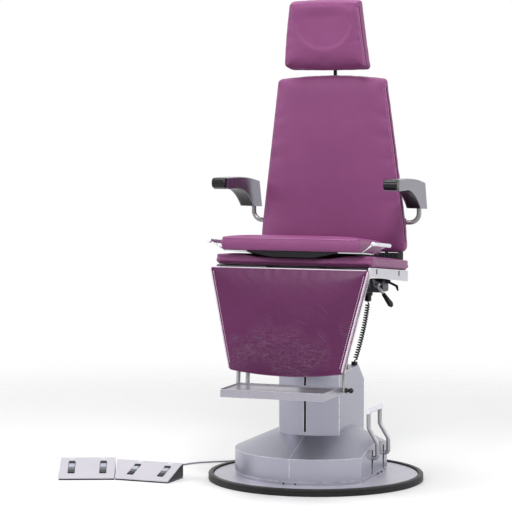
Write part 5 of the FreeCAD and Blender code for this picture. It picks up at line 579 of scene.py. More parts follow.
NODES_OF = {
    "silver": "base_plinth base_cover_left base_cover_right column_front_cover column_rear_cover",
    "frame": "guide_tube lift_motor lever_bearings lift_tube lift_head turntable seat_pan leg_board"
             " back_frame headrest_post",
    "black": "cover_screws mains_inlet cord_socket cord_clamp hand_lever_grip release_lever cable_glands",
    "vinyl": "lower_cushion upper_cushion back_cushion headrest_cushion",
    "gloss_black": "slide_dish tray_knob armrest_pads_left armrest_pads_right",
    "rubber": "disc_rim gap_pleats control_feet",
    "steel": "hand_lever_rod hinge_pins",
    "lever": "footrest_posts foot_lever_frame",
    "shell": "back_shell headrest_shell",
    "arm": "armrest_body_left armrest_body_right",
    "tube": "armrest_tube_left armrest_tube_right",
    "housing": "control_housing_left control_housing_right",
    "disc": "base_disc",
    "rail": "side_rails",
    "filmed": "leg_cushion",
    "chrome": "side_handles",
    "bar": "foot_lever_bar",
    "tray": "foot_tray",
    "junction": "junction_box",
    "pale": "control_windows",
    "cable": "control_cable",
    "curly": "curly_cord",
}


def finish_nodes():
    """Every solid of the frame gets its finish."""
    finish_of = {node: finish for finish, nodes in NODES_OF.items() for node in nodes.split()}
    for name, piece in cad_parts.items():
        material = banded_rocker(name, piece) if name.startswith("rocker_") else FINISH[finish_of[name]]
        if piece.material_slots:
            for slot in piece.material_slots:
                slot.material = material
        else:
            piece.data.materials.append(material)


# ---------------------------------------------------------------- mesh making

def new_piece(name, verts, faces, material, body=None, smooth=True):
    """Mesh in the chair's frame, which rides on a body if one is named."""
    mesh = bpy.data.meshes.new(name)
    mesh.from_pydata([tuple(v) for v in verts], [], [tuple(int(k) for k in f) for f in faces])
    mesh.materials.append(FINISH[material])
    if smooth:
        mesh.polygons.foreach_set("use_smooth", [True] * len(mesh.polygons))
    mesh.update()
    piece = linked(name, mesh)
    if body:
        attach(piece, body)
    return piece


def swept(points, radii, sides):
    """Round skin along a line of points, turned smoothly from one to the next."""
    points = np.asarray(points, float)
    count = len(points)
    radii = np.broadcast_to(np.asarray(radii, float), (count,))
    tangents = np.gradient(points, axis=0)
    tangents /= np.linalg.norm(tangents, axis=1)[:, None]
    side = np.cross(tangents[0], (0.0, 0.0, 1.0))
    if np.linalg.norm(side) < 0.1:
        side = np.cross(tangents[0], (0.0, 1.0, 0.0))
    side /= np.linalg.norm(side)
    turns = np.arange(sides) * 2 * math.pi / sides
    verts = []
    for point, tangent, radius in zip(points, tangents, radii):
        side = side - tangent * side.dot(tangent)
        side /= np.linalg.norm(side)
        other = np.cross(tangent, side)
        verts.append(point + radius * (np.cos(turns)[:, None] * side + np.sin(turns)[:, None] * other))
    faces = []
    for i in range(count - 1):
        for k in range(sides):
            a, b = i * sides + k, i * sides + (k + 1) % sides
            faces.append((a, b, b + sides, a + sides))
    faces.append(tuple(reversed(range(sides))))
    faces.append(tuple(range((count - 1) * sides, count * sides)))
    return np.concatenate(verts), faces


def joined(parts):
    """One list of vertices and faces from several."""
    verts, faces = [], []
    for part_verts, part_faces in parts:
        faces.extend(tuple(k + len(verts) for k in face) for face in part_faces)
        verts.extend(part_verts)
    return verts, faces


def measured(line):
    """Distance along a line of points, from 0 at its start."""
    steps = np.linalg.norm(np.diff(line, axis=0), axis=1)
    return np.concatenate([[0.0], np.cumsum(steps)])


def along(line, places):
    """Points of a line at distances along it."""
    marks = measured(line)
    return np.stack([np.interp(places, marks, line[:, k]) for k in range(line.shape[1])], 1)


# ---------------------------------------------------------------- small trim and painted slot shadows

CONTROL_W, CONTROL_L = 0.183, 0.119
CONTROL_PLACE = Matrix.Translation((-0.4913, -0.192, 0)) @ Matrix.Rotation(math.radians(-2.1), 4, "Z")
RAIL_X, RAIL_TOP = 0.248, -0.0258
SLOT_PLACES = (0.0563, 0.2975)
SLOT_W, SLOT_H, SLOT_DROP = 0.0035, 0.015, 0.0035
SLOT_SHADOW_RIM, SLOT_SHADOW_END, SLOT_SHADOW_ROUND = 0.0035, 0.0005, 0.003
TRIM_GAP, SLOT_SHADOW_PROUD, CHEEK_PROUD = 0.0001, 0.0008, 0.0007


def slab(outline, low, high):
    """Thin plate between two X values, from its outline in Y and Z."""
    count = len(outline)
    verts = [(x, y, z) for x in (low, high) for y, z in outline]
    faces = [tuple(range(count)), tuple(reversed(range(count, 2 * count)))]
    faces += [(k, k + count, (k + 1) % count + count, (k + 1) % count) for k in range(count)]
    return verts, faces


def rounded_outline(low_y, low_z, high_y, high_z, radius):
    """Rectangle with round corners in Y and Z."""
    low_y, low_z, high_y, high_z = low_y + radius, low_z + radius, high_y - radius, high_z - radius
    points = []
    for y, z, start in ((high_y, low_z, -90), (high_y, high_z, 0), (low_y, high_z, 90), (low_y, low_z, 180)):
        for turn in (math.radians(start + step * 22.5) for step in range(5)):
            points.append((y + radius * math.cos(turn), z + radius * math.sin(turn)))
    return points


def placed(name, shape, place, material, body):
    verts, faces = shape
    piece = new_piece(name, [tuple(place @ Vector(v)) for v in verts], faces, material, body, smooth=False)


def paint_rail_slot_shadows():
    """Black plates over the side plates' slots: painted shadow in the slot recesses."""
    top = RAIL_TOP - SLOT_DROP
    for side, label in ((-1, "left"), (1, "right")):
        faces_at = sorted((side * (RAIL_X + TRIM_GAP), side * (RAIL_X + SLOT_SHADOW_PROUD)))
        for k, y in enumerate(SLOT_PLACES):
            low, high = top - SLOT_H - SLOT_SHADOW_END, top + SLOT_SHADOW_END
            outline = rounded_outline(y - SLOT_SHADOW_RIM, low, y + SLOT_W + SLOT_SHADOW_RIM, high, SLOT_SHADOW_ROUND)
            placed("rail_slot_shadow_%s_%d" % (label, k + 1), slab(outline, *faces_at), SEAT, "black", "seat")


def trim_control():
    """Dark cheek on the right side of the right control."""
    half = CONTROL_L / 2
    outline = [(-half + 0.004, 0.0048), (half - 0.003, 0.0048), (half - 0.003, 0.0445),
               (half * 0.62, 0.0395), (-half + 0.006, 0.0075)]
    cheek = slab(outline, CONTROL_W / 2 + TRIM_GAP, CONTROL_W / 2 + CHEEK_PROUD)
    placed("control_cheek", cheek, CONTROL_PLACE, "cheek", "base")


# ---------------------------------------------------------------- cords

CABLE_ROUTE = (
    (-0.5045, -0.116, 0.014), (-0.504, -0.085, 0.0115), (-0.5, -0.046, 0.005), (-0.499, 0.0, 0.0027),
    (-0.495, 0.05, 0.0026), (-0.484, 0.099, 0.0027), (-0.459, 0.141, 0.0026), (-0.418, 0.173, 0.0027),
    (-0.372, 0.203, 0.0026), (-0.337, 0.246, 0.0027), (-0.293, 0.288, 0.0026), (-0.24, 0.329, 0.0027),
    (-0.18, 0.358, 0.0026), (-0.114, 0.383, 0.0027), (-0.054, 0.395, 0.003), (-0.009, 0.392, 0.006),
    (0.026, 0.377, 0.014), (0.046, 0.354, 0.025), (0.0505, 0.327, 0.036), (0.0476, 0.3003, 0.046),
    (0.0426, 0.2687, 0.046),
)
CORD_TOP, CORD_FOOT = Vector((0.131, 0.130, 0.556)), Vector((0.087, 0.128, 0.3608))
CORD_CURLS, CURL_POINTS = 22, 12
CORD_TAIL, CORD_BOW = 0.010, 0.0055
CURL_RADIUS, WIRE_RADIUS = 0.0062, 0.0022


def spline_of(name, points, resolution):
    """Open NURBS curve through a cord's route."""
    curve = bpy.data.curves.new(name, "CURVE")
    curve.dimensions = "3D"
    spline = curve.splines.new("NURBS")
    spline.points.add(len(points) - 1)
    for knot, point in zip(spline.points, points):
        knot.co = (*point, 1.0)
    spline.order_u = 3
    spline.use_endpoint_u = True
    spline.resolution_u = resolution
    return curve


def lay_control_cable():
    """Grey cable that lies on the floor from the foot control to the base."""
    curve = spline_of("foot_control_cable", CABLE_ROUTE, 8)
    curve.bevel_depth = 0.0025
    curve.bevel_resolution = 4
    curve.use_fill_caps = True
    curve.materials.append(FINISH["cable"])
    cable = linked("foot_control_cable", curve)
    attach(cable, "base")
    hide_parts("control_cable")


def hang_curly_cord():
    """Curly lead that hangs between the lift's clamp and the column, bowed by its own weight."""
    span = CORD_FOOT - CORD_TOP
    run = span.length
    side = span.normalized().cross(Vector((0, 1, 0))).normalized()
    other = span.normalized().cross(side)
    points = [CORD_TOP, CORD_TOP + Vector((0, 0, -0.004))]
    total = CORD_CURLS * CURL_POINTS
    for k in range(total + 1):
        share = (CORD_TAIL + (run - 2 * CORD_TAIL) * k / total) / run
        axis = CORD_TOP + span * share + Vector((1, 0, 0)) * (CORD_BOW * 4 * share * (1 - share))
        turn = 2 * math.pi * k / CURL_POINTS
        points.append(axis + (side * math.cos(turn) + other * math.sin(turn)) * CURL_RADIUS)
    points += [CORD_FOOT + Vector((0, 0, 0.0044)), CORD_FOOT]
    line = bpy.data.objects.new("curly_line", spline_of("curly_line", points, 3))
    mesh = bpy.data.meshes.new_from_object(line)
    path = np.array([v.co for v in mesh.vertices], float)
    bpy.data.objects.remove(line)
    cord = new_piece("curly_lead", *swept(path, WIRE_RADIUS, 8), "curly")
    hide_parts("curly_cord")
    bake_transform(cord)


# ---------------------------------------------------------------- cushions

EDGE_STEPS = (0.0015, 0.002, 0.0025, 0.003, 0.004, 0.005, 0.0065, 0.008)
SIDE_POINTS, WAIST_ROUNDS, HALF_ARC = 400, 300, 20
CORNER_PULL = 0.56
ROLL_EASE = 0.010
CROWN_POWER = 1.3
GATHER_SCALE, GATHER_REACH, GATHER_START = 95.0, 0.012, 0.001
GROOVE_ROWS = ((0.9, 1.0), (2.0, 0.15))
BAND_START, BAND_RINGS = 2.4, 6
WAVER_SCALE, WAVER_SHARE = 70.0, 0.8
SEAM_HOLD, SEAM_STEP = 0.85, 0.0015


def side_shares(length, middle):
    """Places of the mesh lines along one side: close at both ends, even between."""
    ends = np.concatenate([[0.0], np.cumsum(EDGE_STEPS)])
    gap = length - 2 * ends[-1]
    count = max(2, round(gap / middle))
    inner = ends[-1] + gap * np.arange(1, count) / count
    return np.concatenate([ends, inner, length - ends[::-1]]) / length


def rounded_sides(corners, rounds, bulges, waists):
    """Four dense side curves of a cushion's outline, each from one round corner's middle to the next."""
    corners = np.array(corners, float)
    runs = []
    for i in range(4):
        start, end = corners[i], corners[(i + 1) % 4]
        via = waists.get(i, [])
        stops = np.array([start, *via, end])
        fine = along(stops, np.linspace(0, measured(stops)[-1], SIDE_POINTS))
        for _ in range(WAIST_ROUNDS if via else 0):
            fine[1:-1] = (fine[:-2] + fine[1:-1] * 2 + fine[2:]) / 4
        way = (end - start) / np.linalg.norm(end - start)
        x = np.linspace(0, 1, len(fine))
        runs.append(fine + np.array([way[1], -way[0]]) * (bulges[i] * 4 * x * (1 - x))[:, None])
    halves = []
    t = np.linspace(0, 1, 2 * HALF_ARC + 1)[:, None]
    for i, corner in enumerate(corners):
        enter = along(runs[i - 1], [measured(runs[i - 1])[-1] - rounds[i]])[0]
        leave = along(runs[i], [rounds[i]])[0]
        h1 = enter + (corner - enter) * CORNER_PULL
        h2 = leave + (corner - leave) * CORNER_PULL
        arc = enter * (1 - t) ** 3 + h1 * 3 * t * (1 - t) ** 2 + h2 * 3 * t * t * (1 - t) + leave * t ** 3
        halves.append((arc[:HALF_ARC + 1], arc[HALF_ARC:]))
    sides = []
    for i in range(4):
        marks = measured(runs[i])
        keep = (marks > rounds[i]) & (marks < marks[-1] - rounds[(i + 1) % 4])
        sides.append(np.concatenate([halves[i][1], runs[i][keep], halves[(i + 1) % 4][0]]))
    return sides


def stretched_grid(bottom, right, top, left, s, t):
    """Points inside four border lines, worked across from both pairs of sides."""
    s = s[:, None, None]
    t = t[None, :, None]
    across = bottom[:, None] * (1 - t) + top[:, None] * t
    upright = left[None] * (1 - s) + right[None] * s
    flat = bottom[0] * (1 - s) * (1 - t) + bottom[-1] * s * (1 - t) + top[0] * (1 - s) * t + top[-1] * s * t
    return across + upright - flat


def eased_round(values, marks, reach):
    """Values on a closed line, averaged over a stretch on both sides."""
    eased = []
    for mark in marks:
        off = np.abs(marks - mark)
        weight = np.exp(-(np.minimum(off, marks[-1] - off) / reach) ** 2)
        eased.append((values * weight).sum() / weight.sum())
    return np.array(eased)


def ruffle(points, scale, seed):
    """Smooth random values of about -1 to 1 over points."""
    shift = Vector((seed * 7.3, seed * 3.1, seed * 5.7))
    return np.array([noise.noise(Vector((*p, 0.0)) * scale + shift) for p in points])


class Cushion:
    """Sewn cushion: face, boxing band and back in one closed mesh, with its seam kept for the stitching."""

    def __init__(self, name, place, finish, body, node, fill, slack, corners, rounds, bulges, thick, rolls,
                 crown, foot, draw, swell, pucker, groove, seed, waists=None, crown_reach=0.07, middle=0.011,
                 thick_at=None, shape=None):
        self.place, self.body, self.node, self.fill, self.slack = place, body, node, fill, slack
        sides = rounded_sides(corners, rounds, bulges, waists or {})
        lengths = [measured(side)[-1] for side in sides]
        s, t = (side_shares(max(lengths[k], lengths[k + 2]), middle) for k in (0, 1))
        places = (s, t, 1 - s, 1 - t)
        lines = [along(side, share * length) for side, share, length in zip(sides, places, lengths)]
        grid = stretched_grid(*lines, s, t)
        n, m = len(s), len(t)
        loop = ([(i, 0) for i in range(n)] + [(n - 1, j) for j in range(1, m)]
                + [(i, m - 1) for i in range(n - 2, -1, -1)] + [(0, j) for j in range(m - 2, 0, -1)])
        count = len(loop)
        cells = tuple(np.array(loop).T)
        self.ring = cells[0] * m + cells[1]
        self.side_of = np.repeat(range(4), (n, m - 1, n - 1, m - 2))
        border = grid[cells]
        ahead = np.roll(border, -1, 0) - np.roll(border, 1, 0)
        outward = np.stack([ahead[:, 1], -ahead[:, 0]], 1)
        outward /= np.linalg.norm(outward, axis=1)[:, None]

        # The face: crowned, rolled down at its edge and gathered beside the seam.
        outline = np.concatenate(sides)
        flat = grid.reshape(-1, 2)
        reach = np.array([np.hypot(*(outline - p).T) for p in flat])
        gaps = reach.min(1)
        owner = np.repeat(np.array(rolls, float), [len(side) for side in sides])
        roll = eased_round(owner, measured(outline), ROLL_EASE)[reach.argmin(1)]
        drop = np.where(gaps < roll, roll - np.sqrt(np.maximum(roll ** 2 - (roll - gaps) ** 2, 0)), 0.0)
        rise = crown * (1 - np.exp(-(gaps / crown_reach) ** CROWN_POWER))
        gathers = pucker * ruffle(flat, GATHER_SCALE, seed) * np.exp(-gaps / GATHER_REACH)
        height = rise - drop + gathers * (gaps > GATHER_START)
        if shape:
            height = height + shape(flat)
        verts = [np.column_stack([flat, height])]

        # The seam's groove and the band below it.
        roll = roll[self.ring]
        thickness = thick_at(border) if thick_at else np.full(count, thick)
        for deep, dent in GROOVE_ROWS:
            verts.append(np.column_stack([border - outward * (groove * dent), -roll - groove * deep]))
        marks = measured(np.vstack([border, border[:1]]))[:-1]
        waver = ruffle(np.column_stack([marks, np.zeros_like(marks)]), WAVER_SCALE, seed + 5)
        for f in np.arange(1, BAND_RINGS + 1) / BAND_RINGS:
            depth = roll + BAND_START * groove + (thickness - roll - BAND_START * groove - foot) * f
            inset = draw * abs(2 * f - 1) ** 3 * (f > 0.5) - swell * 4 * f * (1 - f)
            inset = inset - pucker * WAVER_SHARE * waver * f * (1 - f) * 4
            verts.append(np.column_stack([border - outward * inset[:, None], -depth]))

        # The back.
        last = border - outward * (draw + foot)
        verts.append(np.column_stack([last, -thickness]))
        start = n * m + (BAND_RINGS + 2) * count
        index = np.zeros((n, m), int)
        index[cells] = start + np.arange(count)
        index[1:-1, 1:-1] = start + count + np.arange((n - 2) * (m - 2)).reshape(n - 2, m - 2)
        edge = np.zeros((n, m, 2))
        edge[cells] = last
        under = stretched_grid(edge[:, 0], edge[-1], edge[:, -1], edge[0], s, t)[1:-1, 1:-1].reshape(-1, 2)
        verts.append(np.column_stack([under, -thick_at(under) if thick_at else np.full(len(under), -thick)]))

        faces = []
        for i in range(n - 1):
            for j in range(m - 1):
                a, b = i * m + j, (i + 1) * m + j
                faces.append((a, b, b + 1, a + 1))
                faces.append((index[i, j], index[i, j + 1], index[i + 1, j + 1], index[i + 1, j]))
        rows = [self.ring] + [n * m + k * count + np.arange(count) for k in range(BAND_RINGS + 3)]
        for high, low in zip(rows, rows[1:]):
            faces.extend(np.stack([high, low, np.roll(low, -1), np.roll(high, -1)], 1))
        local = np.concatenate(verts)
        matrix = np.array(place)
        self.verts = local @ matrix[:3, :3].T + matrix[:3, 3]
        self.outward = np.column_stack([outward, np.zeros(count)]) @ matrix[:3, :3].T
        self.up = matrix[:3, 2]
        self.piece = new_piece(name, self.verts, faces, finish)
        held = np.zeros(len(local))
        held[start:] = 1.0
        held[rows[-2]] = 1.0
        held[rows[0]] = SEAM_HOLD
        held[rows[1]] = held[rows[2]] = 1.0
        group = self.piece.vertex_groups.new(name="held")
        for level in (SEAM_HOLD, 1.0):
            group.add(np.flatnonzero(held == level).tolist(), level, "REPLACE")

    def settle(self):
        """After stuffing: round the mesh once, then fix the cushion to its body."""
        rounder = self.piece.modifiers.new("rounder", "SUBSURF")
        rounder.levels = rounder.render_levels = 1
        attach(self.piece, self.body)
        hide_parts(self.node)
        bpy.context.view_layer.update()
        self.skin = BVHTree.FromObject(self.piece, bpy.context.evaluated_depsgraph_get())
        self.now = coordinates(self.piece.data)

    def beside(self, side, away, down):
        """The seam's points on one side, moved away from the face and down, and their outward directions."""
        picked = np.flatnonzero(self.side_of == side)
        outward = self.outward[picked]
        return self.now[self.ring[picked]] + outward * away - self.up * down, outward

    def skin_at(self, points):
        """The nearest points of the cover, and its outward directions there."""
        found = [self.skin.find_nearest(Vector(point))[:2] for point in points]
        return np.array([spot for spot, _ in found]), np.array([normal for _, normal in found])

    def seam(self, side, inward=0.0, down=0.0, ends=(0.0, 1.0)):
        """Points on the cover beside the seam of one side, and the cover's outward direction there."""
        aim, _ = self.beside(side, -inward, down)
        length = measured(aim)[-1]
        return self.skin_at(along(aim, np.arange(length * ends[0], length * ends[1], SEAM_STEP)))


def coordinates(mesh):
    co = np.empty(len(mesh.vertices) * 3)
    mesh.vertices.foreach_get("co", co)
    return co.reshape(-1, 3)


CLOTH = {"quality": 6, "mass": 0.35, "tension_stiffness": 22.0, "compression_stiffness": 22.0,
         "shear_stiffness": 9.0, "bending_stiffness": 1.2, "use_pressure": True,
         "uniform_pressure_force": 3.5, "vertex_group_mass": "held", "pin_stiffness": 8.0}
CLOTH_STEPS = 20
CLOTH_LIMIT = 0.006


def stuff(cushions):
    """Blow the covers up from inside, with their seams and backs held, and cap how far they move."""
    scene = bpy.context.scene
    for cushion in cushions:
        cloth = cushion.piece.modifiers.new("cover", "CLOTH")
        for label, value in CLOTH.items():
            setattr(cloth.settings, label, value)
        cloth.settings.shrink_min = -cushion.slack
        cloth.settings.effector_weights.gravity = 0.0
        cloth.collision_settings.use_collision = False
        cloth.collision_settings.use_self_collision = False
        cloth.point_cache.frame_start = 1
        cloth.point_cache.frame_end = CLOTH_STEPS
    for step in range(1, CLOTH_STEPS + 1):
        scene.frame_set(step)
    graph = bpy.context.evaluated_depsgraph_get()
    for cushion in cushions:
        move = coordinates(cushion.piece.evaluated_get(graph).data) - cushion.verts
        size = np.linalg.norm(move, axis=1)
        capped = CLOTH_LIMIT * np.tanh(size / CLOTH_LIMIT)
        share = np.where(size > 1e-9, capped / np.maximum(size, 1e-9), 0.0)
        settled = cushion.verts + move * share[:, None]
        cushion.piece.modifiers.remove(cushion.piece.modifiers["cover"])
        cushion.piece.data.vertices.foreach_set("co", settled.astype(np.float32).ravel())
        cushion.piece.data.update()
    scene.frame_set(1)


def soft_step(x):
    x = np.clip(x, 0.0, 1.0)
    return x * x * (3 - 2 * x)


SCOOP_X, SCOOP_Y, SCOOP_RADIUS = -0.003, 0.158, 0.0985
DISH_FOOT = 0.118
DISH_SLOPE = 0.0146 / 0.054
PUFF = 0.0055


def head_scoop(points):
    """Round hollow for the back of the head, with a clear rim that fades out at the top."""
    up = points[:, 1] - SCOOP_Y
    reach = np.hypot(points[:, 0] - SCOOP_X, up)
    rim = soft_step((SCOOP_RADIUS - reach) / 0.005)
    bowl = np.clip(1 - (reach / SCOOP_RADIUS) ** 2, 0, 1)
    return -(0.0034 * rim + 0.0072 * bowl) * (1 - soft_step(up / 0.052))


def back_hollow(points):
    """Slightly dished lower back, and a fold that rises from the lower right corner."""
    dish = np.exp(-((points[:, 1] - 0.20) / 0.16) ** 2 - (points[:, 0] / 0.15) ** 2)
    side = soft_step((points[:, 0] - 0.13) / 0.05) * np.exp(-((points[:, 1] - 0.06) / 0.07) ** 2)
    return -0.003 * dish + 0.002 * side


def seat_pleats(points):
    """Margins puffed up beside the sliding dish, with fine gathers along both sides."""
    across = np.abs(points[:, 0])
    edge = np.exp(-((across - 0.243) / 0.012) ** 2)
    ripple = np.sin(points[:, 1] * 2 * math.pi / 0.024 + 1.4 * np.sin(points[:, 1] * 31.0))
    room = np.clip((across - DISH_FOOT) * DISH_SLOPE, 0.0, None)
    return 0.0009 * edge * ripple + PUFF * np.tanh(0.7 * room / PUFF)


def leg_thickness(points):
    """The leg rest's pad is thin over its hinge."""
    return 0.041 - 0.0235 * soft_step((points[:, 1] + 0.0335) / 0.004)


CUSHIONS = (
    dict(name="lower_seat_cushion", place=SEAT, finish="soft_vinyl", body="seat", node="lower_cushion",
         fill=0.7, slack=0.003, corners=((-0.2565, 0), (0.2505, 0), (0.2505, 0.402), (-0.2565, 0.402)),
         rounds=(0.016,) * 4, bulges=(0.0015, 0, 0, 0), thick=0.0250, rolls=(0.0042, 0.005, 0.008, 0.005),
         crown=0.0006, foot=0.006, draw=0.002, swell=0.0016, pucker=0.0007, groove=0.0008, shape=seat_pleats,
         seed=3),
    dict(name="upper_seat_cushion", place=SEAT @ Matrix.Translation((0, 0, 0.0587)), finish="soft_vinyl",
         body="upper_seat", node="upper_cushion", fill=0.75, slack=0.0015,
         corners=((-0.2235, -0.036), (0.2185, -0.036), (0.2185, 0.193), (-0.2235, 0.193)),
         rounds=(0.005, 0.0035, 0.008, 0.008), bulges=(0.001, 0.001, 0, 0.001), thick=0.0397,
         rolls=(0.0042, 0.003, 0.005, 0.003), crown=0.0055, crown_reach=0.04, foot=0.0035, draw=0.0012,
         swell=0.0022, pucker=0.0004, groove=0.0007, seed=4),
    dict(name="leg_rest_cushion", place=LEG_REST, finish="filmed", body="leg_rest", node="leg_cushion",
         fill=0.65, slack=0.0005, corners=((-0.181, -0.312), (0.178, -0.312), (0.250, 0.0), (-0.256, 0.0)),
         rounds=(0.005, 0.005, 0.006, 0.006), bulges=(0.014, 0, 0, 0), thick=0.041,
         rolls=(0.0035, 0.0022, 0.003, 0.0022), crown=0.007, crown_reach=0.05, foot=0.004, draw=0.0015,
         swell=0.002, pucker=0.0004, groove=0.0009, thick_at=leg_thickness, seed=5),
    dict(name="backrest_cushion", place=BACKREST, finish="vinyl", body="backrest", node="back_cushion",
         fill=0.7, slack=0.006, corners=((-0.241, 0), (0.243, 0), (0.177, 0.550), (-0.180, 0.550)),
         rounds=(0.022, 0.022, 0.009, 0.009), bulges=(0, 0, 0.012, 0), thick=0.0398,
         waists={1: [(0.242, 0.06)], 3: [(-0.241, 0.06)]}, rolls=(0.011, 0.0045, 0.010, 0.0055),
         crown=0.0055, crown_reach=0.05, foot=0.005, draw=0.0015, swell=0.002, pucker=0.0004,
         middle=0.013, groove=0.0011, shape=back_hollow, seed=6),
    dict(name="headrest_pad", place=HEADREST, finish="vinyl", body="headrest", node="headrest_cushion",
         fill=0.75, slack=0.006,
         corners=((-0.140, -0.003), (0.134, -0.003), (0.111, 0.208), (-0.115, 0.207)),
         rounds=(0.020, 0.012, 0.005, 0.008), bulges=(0.002, -0.001, 0.004, 0.003), thick=0.0548,
         rolls=(0.038, 0.0028, 0.005, 0.0045), crown=0.008, crown_reach=0.05, foot=0.006, draw=0.001,
         swell=0.0045, pucker=0.0004, middle=0.0065, groove=0.0016, shape=head_scoop, seed=7),
)


def sew_cushions():
    every = [Cushion(**row) for row in CUSHIONS]
    stuff(every)
    for cushion in every:
        cushion.settle()
    stitch_cushions(*every[1:])


# ---------------------------------------------------------------- seams and film

STITCH_SHARES = np.array([-0.5, -0.32, 0.0, 0.32, 0.5])
STITCH_LIFT = np.array([0.1, 0.55, 0.75, 0.55, 0.1])
STITCH_THICK = np.array([0.45, 0.95, 1.0, 0.95, 0.45])
COARSE = {"pitch": 0.0072, "length": 0.0048, "radius": 0.0011}
PIPE_STEP, PIPE_TAPER, PIPE_TIP, PIPE_LIFT = 0.004, 0.006, 0.35, 0.35
FILM_TOP, FILM_WIDTH, FILM_PROUD = 0.0015, 0.036, 0.0016
FILM_ROWS, FILM_POINTS, FILM_ENDS = 7, 150, 0.004
WRINKLE_SCALE, WRINKLE = 55.0, 0.0004
CREASE_HUB, CREASE_BUNDLES, CREASE_POINTS = (0.0, -0.055), 22, 12
CREASE_GAP, CREASE_RADIUS, CREASE_LIFT = 0.0056, 0.00042, 0.00004
LEG_FOOT, LEG_HALF, LEG_FLARE = -0.312, 0.166, 0.2


def sewn(name, cushion, verts, faces, material):
    """A piece that belongs to a cushion's cover."""
    new_piece(name, verts, faces, material, cushion.body)


def normals_at(normals, line, places):
    """Directions of a line's points, at distances along the line."""
    return along(normals, np.interp(places, measured(line), measured(normals)))


def stitched(name, cushion, line, normals, material="thread", pitch=0.0052, length=0.0036, radius=0.0006):
    """Row of short stitches pressed into a cover."""
    parts = []
    middle = pitch
    while middle < measured(line)[-1] - pitch:
        spots = along(line, middle + STITCH_SHARES * length)
        up = normals_at(normals, line, [middle] * len(STITCH_SHARES))
        lift = radius * STITCH_LIFT
        parts.append(swept(spots + up * lift[:, None], radius * STITCH_THICK, 6))
        middle += pitch
    sewn(name, cushion, *joined(parts), material)


def piped(name, cushion, line, normals, radius, material="welt"):
    """Thin welt sewn into a seam. A pale welt stands for a painted highlight and a dark one for painted seam
    shadow.
    """
    length = measured(line)[-1]
    places = np.linspace(0, length, max(8, int(length / PIPE_STEP)))
    up = normals_at(normals, line, places)
    up /= np.linalg.norm(up, axis=1)[:, None]
    ease = np.minimum(1.0, np.minimum(places, length - places) / PIPE_TAPER + PIPE_TIP)
    sewn(name, cushion, *swept(along(line, places) + up * radius * PIPE_LIFT, radius * ease, 8), material)


def wrapped_film(name, cushion, side):
    """Strip of clear film laid over one side of a cushion, wrinkled where it was pulled round; its whitish
    tone is partly a painted highlight of the lit side band.
    """
    rows = []
    for down in np.linspace(FILM_TOP, FILM_WIDTH, FILM_ROWS):
        line, outward = cushion.beside(side, FILM_PROUD, down)
        length = measured(line)[-1]
        places = np.linspace(length * FILM_ENDS, length * (1 - FILM_ENDS), FILM_POINTS)
        crumple = ruffle(np.column_stack([places, np.full(FILM_POINTS, down)]), WRINKLE_SCALE, side + 2)
        rows.append(along(line, places) + outward[len(outward) // 2] * (crumple * WRINKLE)[:, None])
    faces = [(k, k + 1, k + 1 + FILM_POINTS, k + FILM_POINTS)
             for k in range((FILM_ROWS - 1) * FILM_POINTS) if (k + 1) % FILM_POINTS]
    sewn(name, cushion, np.concatenate(rows), faces, "film")


def film_creases(leg):
    """Fine creases of the film in bundles that fan down and out over the leg rest's lower half, in a paler
    purple as painted highlights.
    """
    chance = np.random.default_rng(4)
    run = np.linspace(0, 1, CREASE_POINTS)
    parts = []
    for _ in range(CREASE_BUNDLES):
        middle = np.array((chance.normal(0.01, 0.07), chance.uniform(-0.285, -0.125)))
        away = middle - np.array(CREASE_HUB)
        turn = math.atan2(away[1], away[0]) + chance.normal(0, 0.28)
        across = np.array((-math.sin(turn), math.cos(turn)))
        bend = chance.normal(0, 0.9)
        for strand in range(chance.integers(2, 6)):
            length = chance.uniform(0.02, 0.064)
            heading = turn + chance.normal(0, 0.12) + bend * (run - 0.5)
            steps = np.stack([np.cos(heading), np.sin(heading)], 1) * (length / (CREASE_POINTS - 1))
            place = middle + across * (strand * CREASE_GAP + chance.normal(0, 0.0022)) + np.cumsum(steps, 0)
            place = place - steps.sum(0) * chance.uniform(0.3, 0.7)
            wide = LEG_HALF + (place[:, 1] - LEG_FOOT) * LEG_FLARE
            if np.any(np.abs(place[:, 0]) > wide) or place[:, 1].min() < LEG_FOOT + 0.006:
                continue
            local = np.column_stack([place, np.full(CREASE_POINTS, 0.01), np.ones(CREASE_POINTS)])
            spots, normals = leg.skin_at((local @ np.array(leg.place).T)[:, :3])
            size = CREASE_RADIUS * np.sin(np.pi * np.clip(run, 0.04, 0.96)) ** 0.7 * chance.uniform(0.5, 1.1)
            parts.append(swept(spots + normals * CREASE_LIFT, size, 5))
    sewn("leg_rest_film_creases", leg, *joined(parts), "crease")


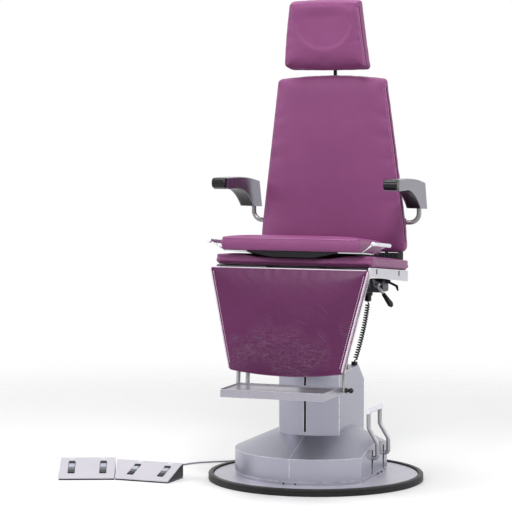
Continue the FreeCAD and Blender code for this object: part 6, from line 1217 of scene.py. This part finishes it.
def stitch_cushions(upper, leg, back, head):
    """Rows of stitches along the sides, welts and pipings in the seams, and the leg rest's film. Pale welts
    and pipings are painted highlights, the dark pipings painted seam shadow.
    """
    for side, label in ((1, "right"), (3, "left")):
        stitched("backrest_stitches_" + label, back, *back.seam(side, inward=0.007, ends=(0.03, 0.97)),
                 material="dull_thread")
        stitched("headrest_stitches_" + label, head, *head.seam(side, inward=0.0055, ends=(0.04, 0.96)),
                 material="dull_thread", pitch=0.0046)
        # Near-white welts: painted highlights of the film's shiny edge.
        piped("leg_rest_welt_" + label, leg, *leg.seam(side, ends=(0.005, 0.995)), 0.0022)
        stitched("leg_rest_stitches_" + label, leg, *leg.seam(side, inward=0.0075, ends=(0.015, 0.985)),
                 **COARSE)
        # Whitish film strips: partly film, partly a painted highlight of the lit side band.
        wrapped_film("leg_rest_film_" + label, leg, side)
    stitched("leg_rest_stitches_band", leg, *leg.seam(1, inward=-0.001, down=0.009, ends=(0.015, 0.985)),
             **COARSE)
    # Near-white welt: a painted highlight of the film's shiny top edge.
    piped("leg_rest_welt_top", leg, *leg.seam(2, ends=(0.002, 0.998)), 0.0017)
    piped("leg_rest_welt_low", leg, *leg.seam(0, ends=(0.01, 0.99)), 0.0009, "vinyl")
    # Pale purple pipings: painted highlights beside the right seams.
    piped("headrest_piping_highlight", head, *head.seam(1, inward=0.0008, ends=(0.02, 0.93)), 0.0012, "light_piping")
    piped("backrest_piping_highlight", back, *back.seam(1, inward=0.0012, ends=(0.05, 0.96)), 0.0011, "light_piping")
    # Dark purple pipings: painted shadow in the right seams' grooves.
    piped("headrest_seam_shadow", head, *head.seam(1, down=0.0050, ends=(0.02, 0.95)), 0.0017, "seam_dark")
    piped("backrest_seam_shadow", back, *back.seam(1, down=0.0064, ends=(0.05, 0.96)), 0.0015, "seam_dark")
    film_creases(leg)
    # Pale purple piping: a painted highlight along the upper seat's front edge.
    piped("upper_seat_welt_highlight", upper, *upper.seam(0, ends=(0.01, 0.99)), 0.0009, "light_piping")


# ---------------------------------------------------------------- run

set_camera()
ready_effects()
ready_finishes()
lay_control_cable()
hang_curly_cord()
paint_rail_slot_shadows()
trim_control()
set_room()
set_lamps()
set_floor()
finish_nodes()
sew_cushions()

bpy.context.scene.view_settings.view_transform = "Standard"
